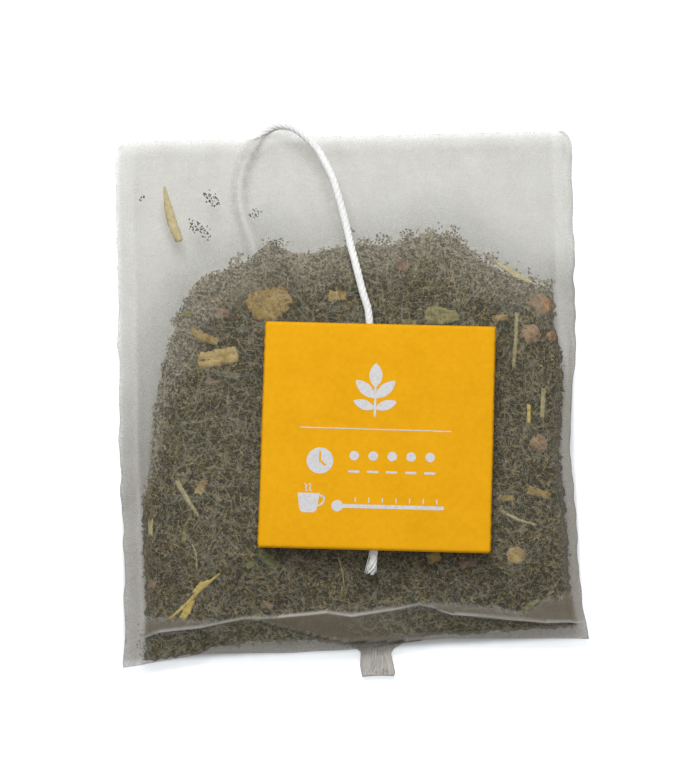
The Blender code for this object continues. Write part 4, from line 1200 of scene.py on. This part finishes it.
def bar(u0, v0, u1, v1, width):
    """A bar between two points with round ends, in steps short enough to follow the card's bow."""
    turn = math.atan2(v1 - v0, u1 - u0)
    side_u, side_v = width / 2 * math.sin(turn), -width / 2 * math.cos(turn)
    steps = max(1, round(math.hypot(u1 - u0, v1 - v0)))
    outline = []
    for (ua, va), (ub, vb), way in (((u0, v0), (u1, v1), 1), ((u1, v1), (u0, v0), -1)):
        for k in range(1, steps):
            t = k / steps
            outline.append((ua + (ub - ua) * t + way * side_u, va + (vb - va) * t + way * side_v))
        start = turn - way * math.pi / 2
        for k in range(9):
            angle = start + math.pi * k / 8
            outline.append((ub + width / 2 * math.cos(angle), vb + width / 2 * math.sin(angle)))
    return outline


def leaf_outline(u, v, length, width, turn):
    """A pointed leaf that starts at (u, v)."""
    outline = []
    for side in (1, -1):
        for k in range(10):
            t = k / 10 if side == 1 else 1 - k / 10
            across_leaf = side * width / 2 * math.sin(math.pi * t) ** 0.8
            along_leaf = length * t
            outline.append((
                u + along_leaf * math.cos(turn) - across_leaf * math.sin(turn),
                v + along_leaf * math.sin(turn) + across_leaf * math.cos(turn),
            ))
    return outline


bm = bmesh.new()
add_ink(bm, bar(-0.4, 2.7, -0.4, 6.6, 0.28))
for u, v, length, width, turn in (
    (-0.4, 6.4, 3.3, 1.7, 1.57), (-0.4, 5.0, 3.5, 1.5, 0.75), (-0.4, 5.0, 3.5, 1.5, 2.39),
    (-0.4, 3.6, 3.0, 1.3, 0.35), (-0.4, 3.6, 3.0, 1.3, 2.79),
):
    add_ink(bm, leaf_outline(u, v, length, width, turn), 0.9)
add_ink(bm, bar(-9.95, 0.95, 9.5, 0.85, 0.13))
add_ink(bm, round_dot(*CLOCK, 1.72))
for k in range(5):
    add_ink(bm, round_dot(-2.9 + 2.45 * k, -2.65, 0.62, 24))
    add_ink(bm, bar(-3.5 + 2.45 * k, -4.75, -2.3 + 2.45 * k, -4.75, 0.3))
add_ink(bm, [(-10.05, -7.7), (-9.8, -9.6), (-9.65, -10.05), (-9.35, -10.25), (-7.95, -10.25),
             (-7.65, -10.05), (-7.5, -9.6), (-7.2, -7.7)])
for (u0, v0), (u1, v1) in zip(
    ((-7.3, -8.0), (-6.65, -8.1), (-6.6, -8.7), (-7.1, -9.3)),
    ((-6.65, -8.1), (-6.6, -8.7), (-7.1, -9.3), (-7.45, -9.35)),
):
    add_ink(bm, bar(u0, v0, u1, v1, 0.24), 0.8)
for shift in (-0.3, 0.25):
    for k in range(3):
        u, v = -8.7 + shift + 0.13 * (-1) ** k, -7.4 + 0.3 * k
        add_ink(bm, bar(u, v, u - 0.26 * (-1) ** k, v + 0.3, 0.16), 0.7)
add_ink(bm, bar(-4.6, -9.3, 8.6, -9.3, 0.5))
add_ink(bm, round_dot(-4.9, -9.3, 0.75, 28), 1.1)
for k in range(7):
    add_ink(bm, bar(-2.6 + 1.75 * k, -8.75, -2.6 + 1.75 * k, -8.2, 0.14))
ink_print = add_piece("tag_print", bm, white_ink, flat=True)
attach(ink_print, "root")

bm = bmesh.new()
add_ink(bm, bar(*CLOCK, -7.3, -2.3, 0.26), 2.0)
add_ink(bm, bar(*CLOCK, -6.6, -3.95, 0.26), 2.2)
hands = add_piece("tag_clock_hands", bm, card, flat=True)
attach(hands, "root")


# Thread tab. A tongue of doubled film at the bottom edge. The thread's end is fanned out and welded
# between its two layers. Its outline is in millimetres: how far below the middle, and x there.

TAB_LEFT = ((32.4, 33.1, 33.5, 33.9, 35.7, 37.15), (-0.9, -0.5, 0.25, 0.72, 0.60, 0.87))
TAB_RIGHT = ((32.4, 33.1, 33.6, 34.2, 36.75, 37.15), (6.6, 5.9, 5.0, 4.66, 5.15, 4.9))
TAB_LEVEL = 0.95 * MM
TAB_HALF = 0.07 * MM
TAB_TOP = -32.4
TAB_FOOT = -37.15
FAN_FIBRES = 26

tab_film, tree, shader = new_material("doubled film", (0.46, 0.43, 0.39), 0.6)
place = object_place(tree)
lay = add_node(
    tree, "ShaderNodeMapping", {"Vector": place, "Scale": (1.0, 5.0, 1.0)}, vector_type="TEXTURE"
)
strands = noise(tree, lay.outputs["Vector"], 2600.0, 2.0, 0.5)
tone = add_ramp(tree, strands, [(0.35, (0.46, 0.43, 0.39)), (0.7, (0.65, 0.615, 0.56))])
tree.links.new(tone, shader.inputs["Base Color"])
shader.inputs["Alpha"].default_value = 0.82
add_bump(tree, shader, strands, 0.00006, 0.5)

sunk_cotton, tree, shader = new_material("cotton under film", (0.58, 0.56, 0.52), 0.9)
strands = noise(tree, object_place(tree), 900.0)
tone = add_ramp(tree, strands, [(0.35, (0.48, 0.46, 0.42)), (0.65, (0.70, 0.69, 0.66))])
tree.links.new(tone, shader.inputs["Base Color"])

v = np.linspace(1, 0, 31)[:, None]
u = np.linspace(0, 1, 25)[None, :]
tab_y = TAB_TOP + (TAB_FOOT - TAB_TOP) * v
left = np.interp(-tab_y, TAB_LEFT[0], TAB_LEFT[1])
right = np.interp(-tab_y, TAB_RIGHT[0], TAB_RIGHT[1])
tab_x = left + (right - left) * u
tab_y = tab_y + 0.12 * np.sin(3.1 * u) * v
tab_x, tab_y = tab_x * MM, (tab_y + 0 * u) * MM
ruck = 0.07 * MM * np.sin(5 * 2 * math.pi * u + 2 * v) * np.sin(math.pi * v)
level = TAB_LEVEL - 0.25 * MM * smooth(v * 1.4) + ruck
mesh, _ = closed_shell("tab", tab_x, tab_y, level + TAB_HALF, level - TAB_HALF)
tab = add_object("tab_tongue", mesh, tab_film)
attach(tab, "root")
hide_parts("thread_tab")

bm = bmesh.new()
chance = random.Random(17)
for k in range(FAN_FIBRES):
    lean = (k + 0.5) / FAN_FIBRES - 0.5 + chance.uniform(-0.04, 0.04)
    reach = chance.uniform(0.7, 1.0)
    fibre = []
    for n in range(8):
        t = n / 7 * reach
        fibre.append(Vector((
            2.9 + lean * (1.1 + 1.5 * t) + 0.25 * t + 0.10 * math.sin(5 * t + k), -32.9 - 3.9 * t,
            1.04 - 0.22 * smooth(t * 1.4) + 0.04 * math.sin(7 * t + 2 * k),
        )) * MM)
    add_tube(bm, fibre, lambda t: 0.045 * MM * (1 - 0.3 * t), 6)
fan = add_piece("tab_fibres", bm, sunk_cotton)
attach(fan, "root")
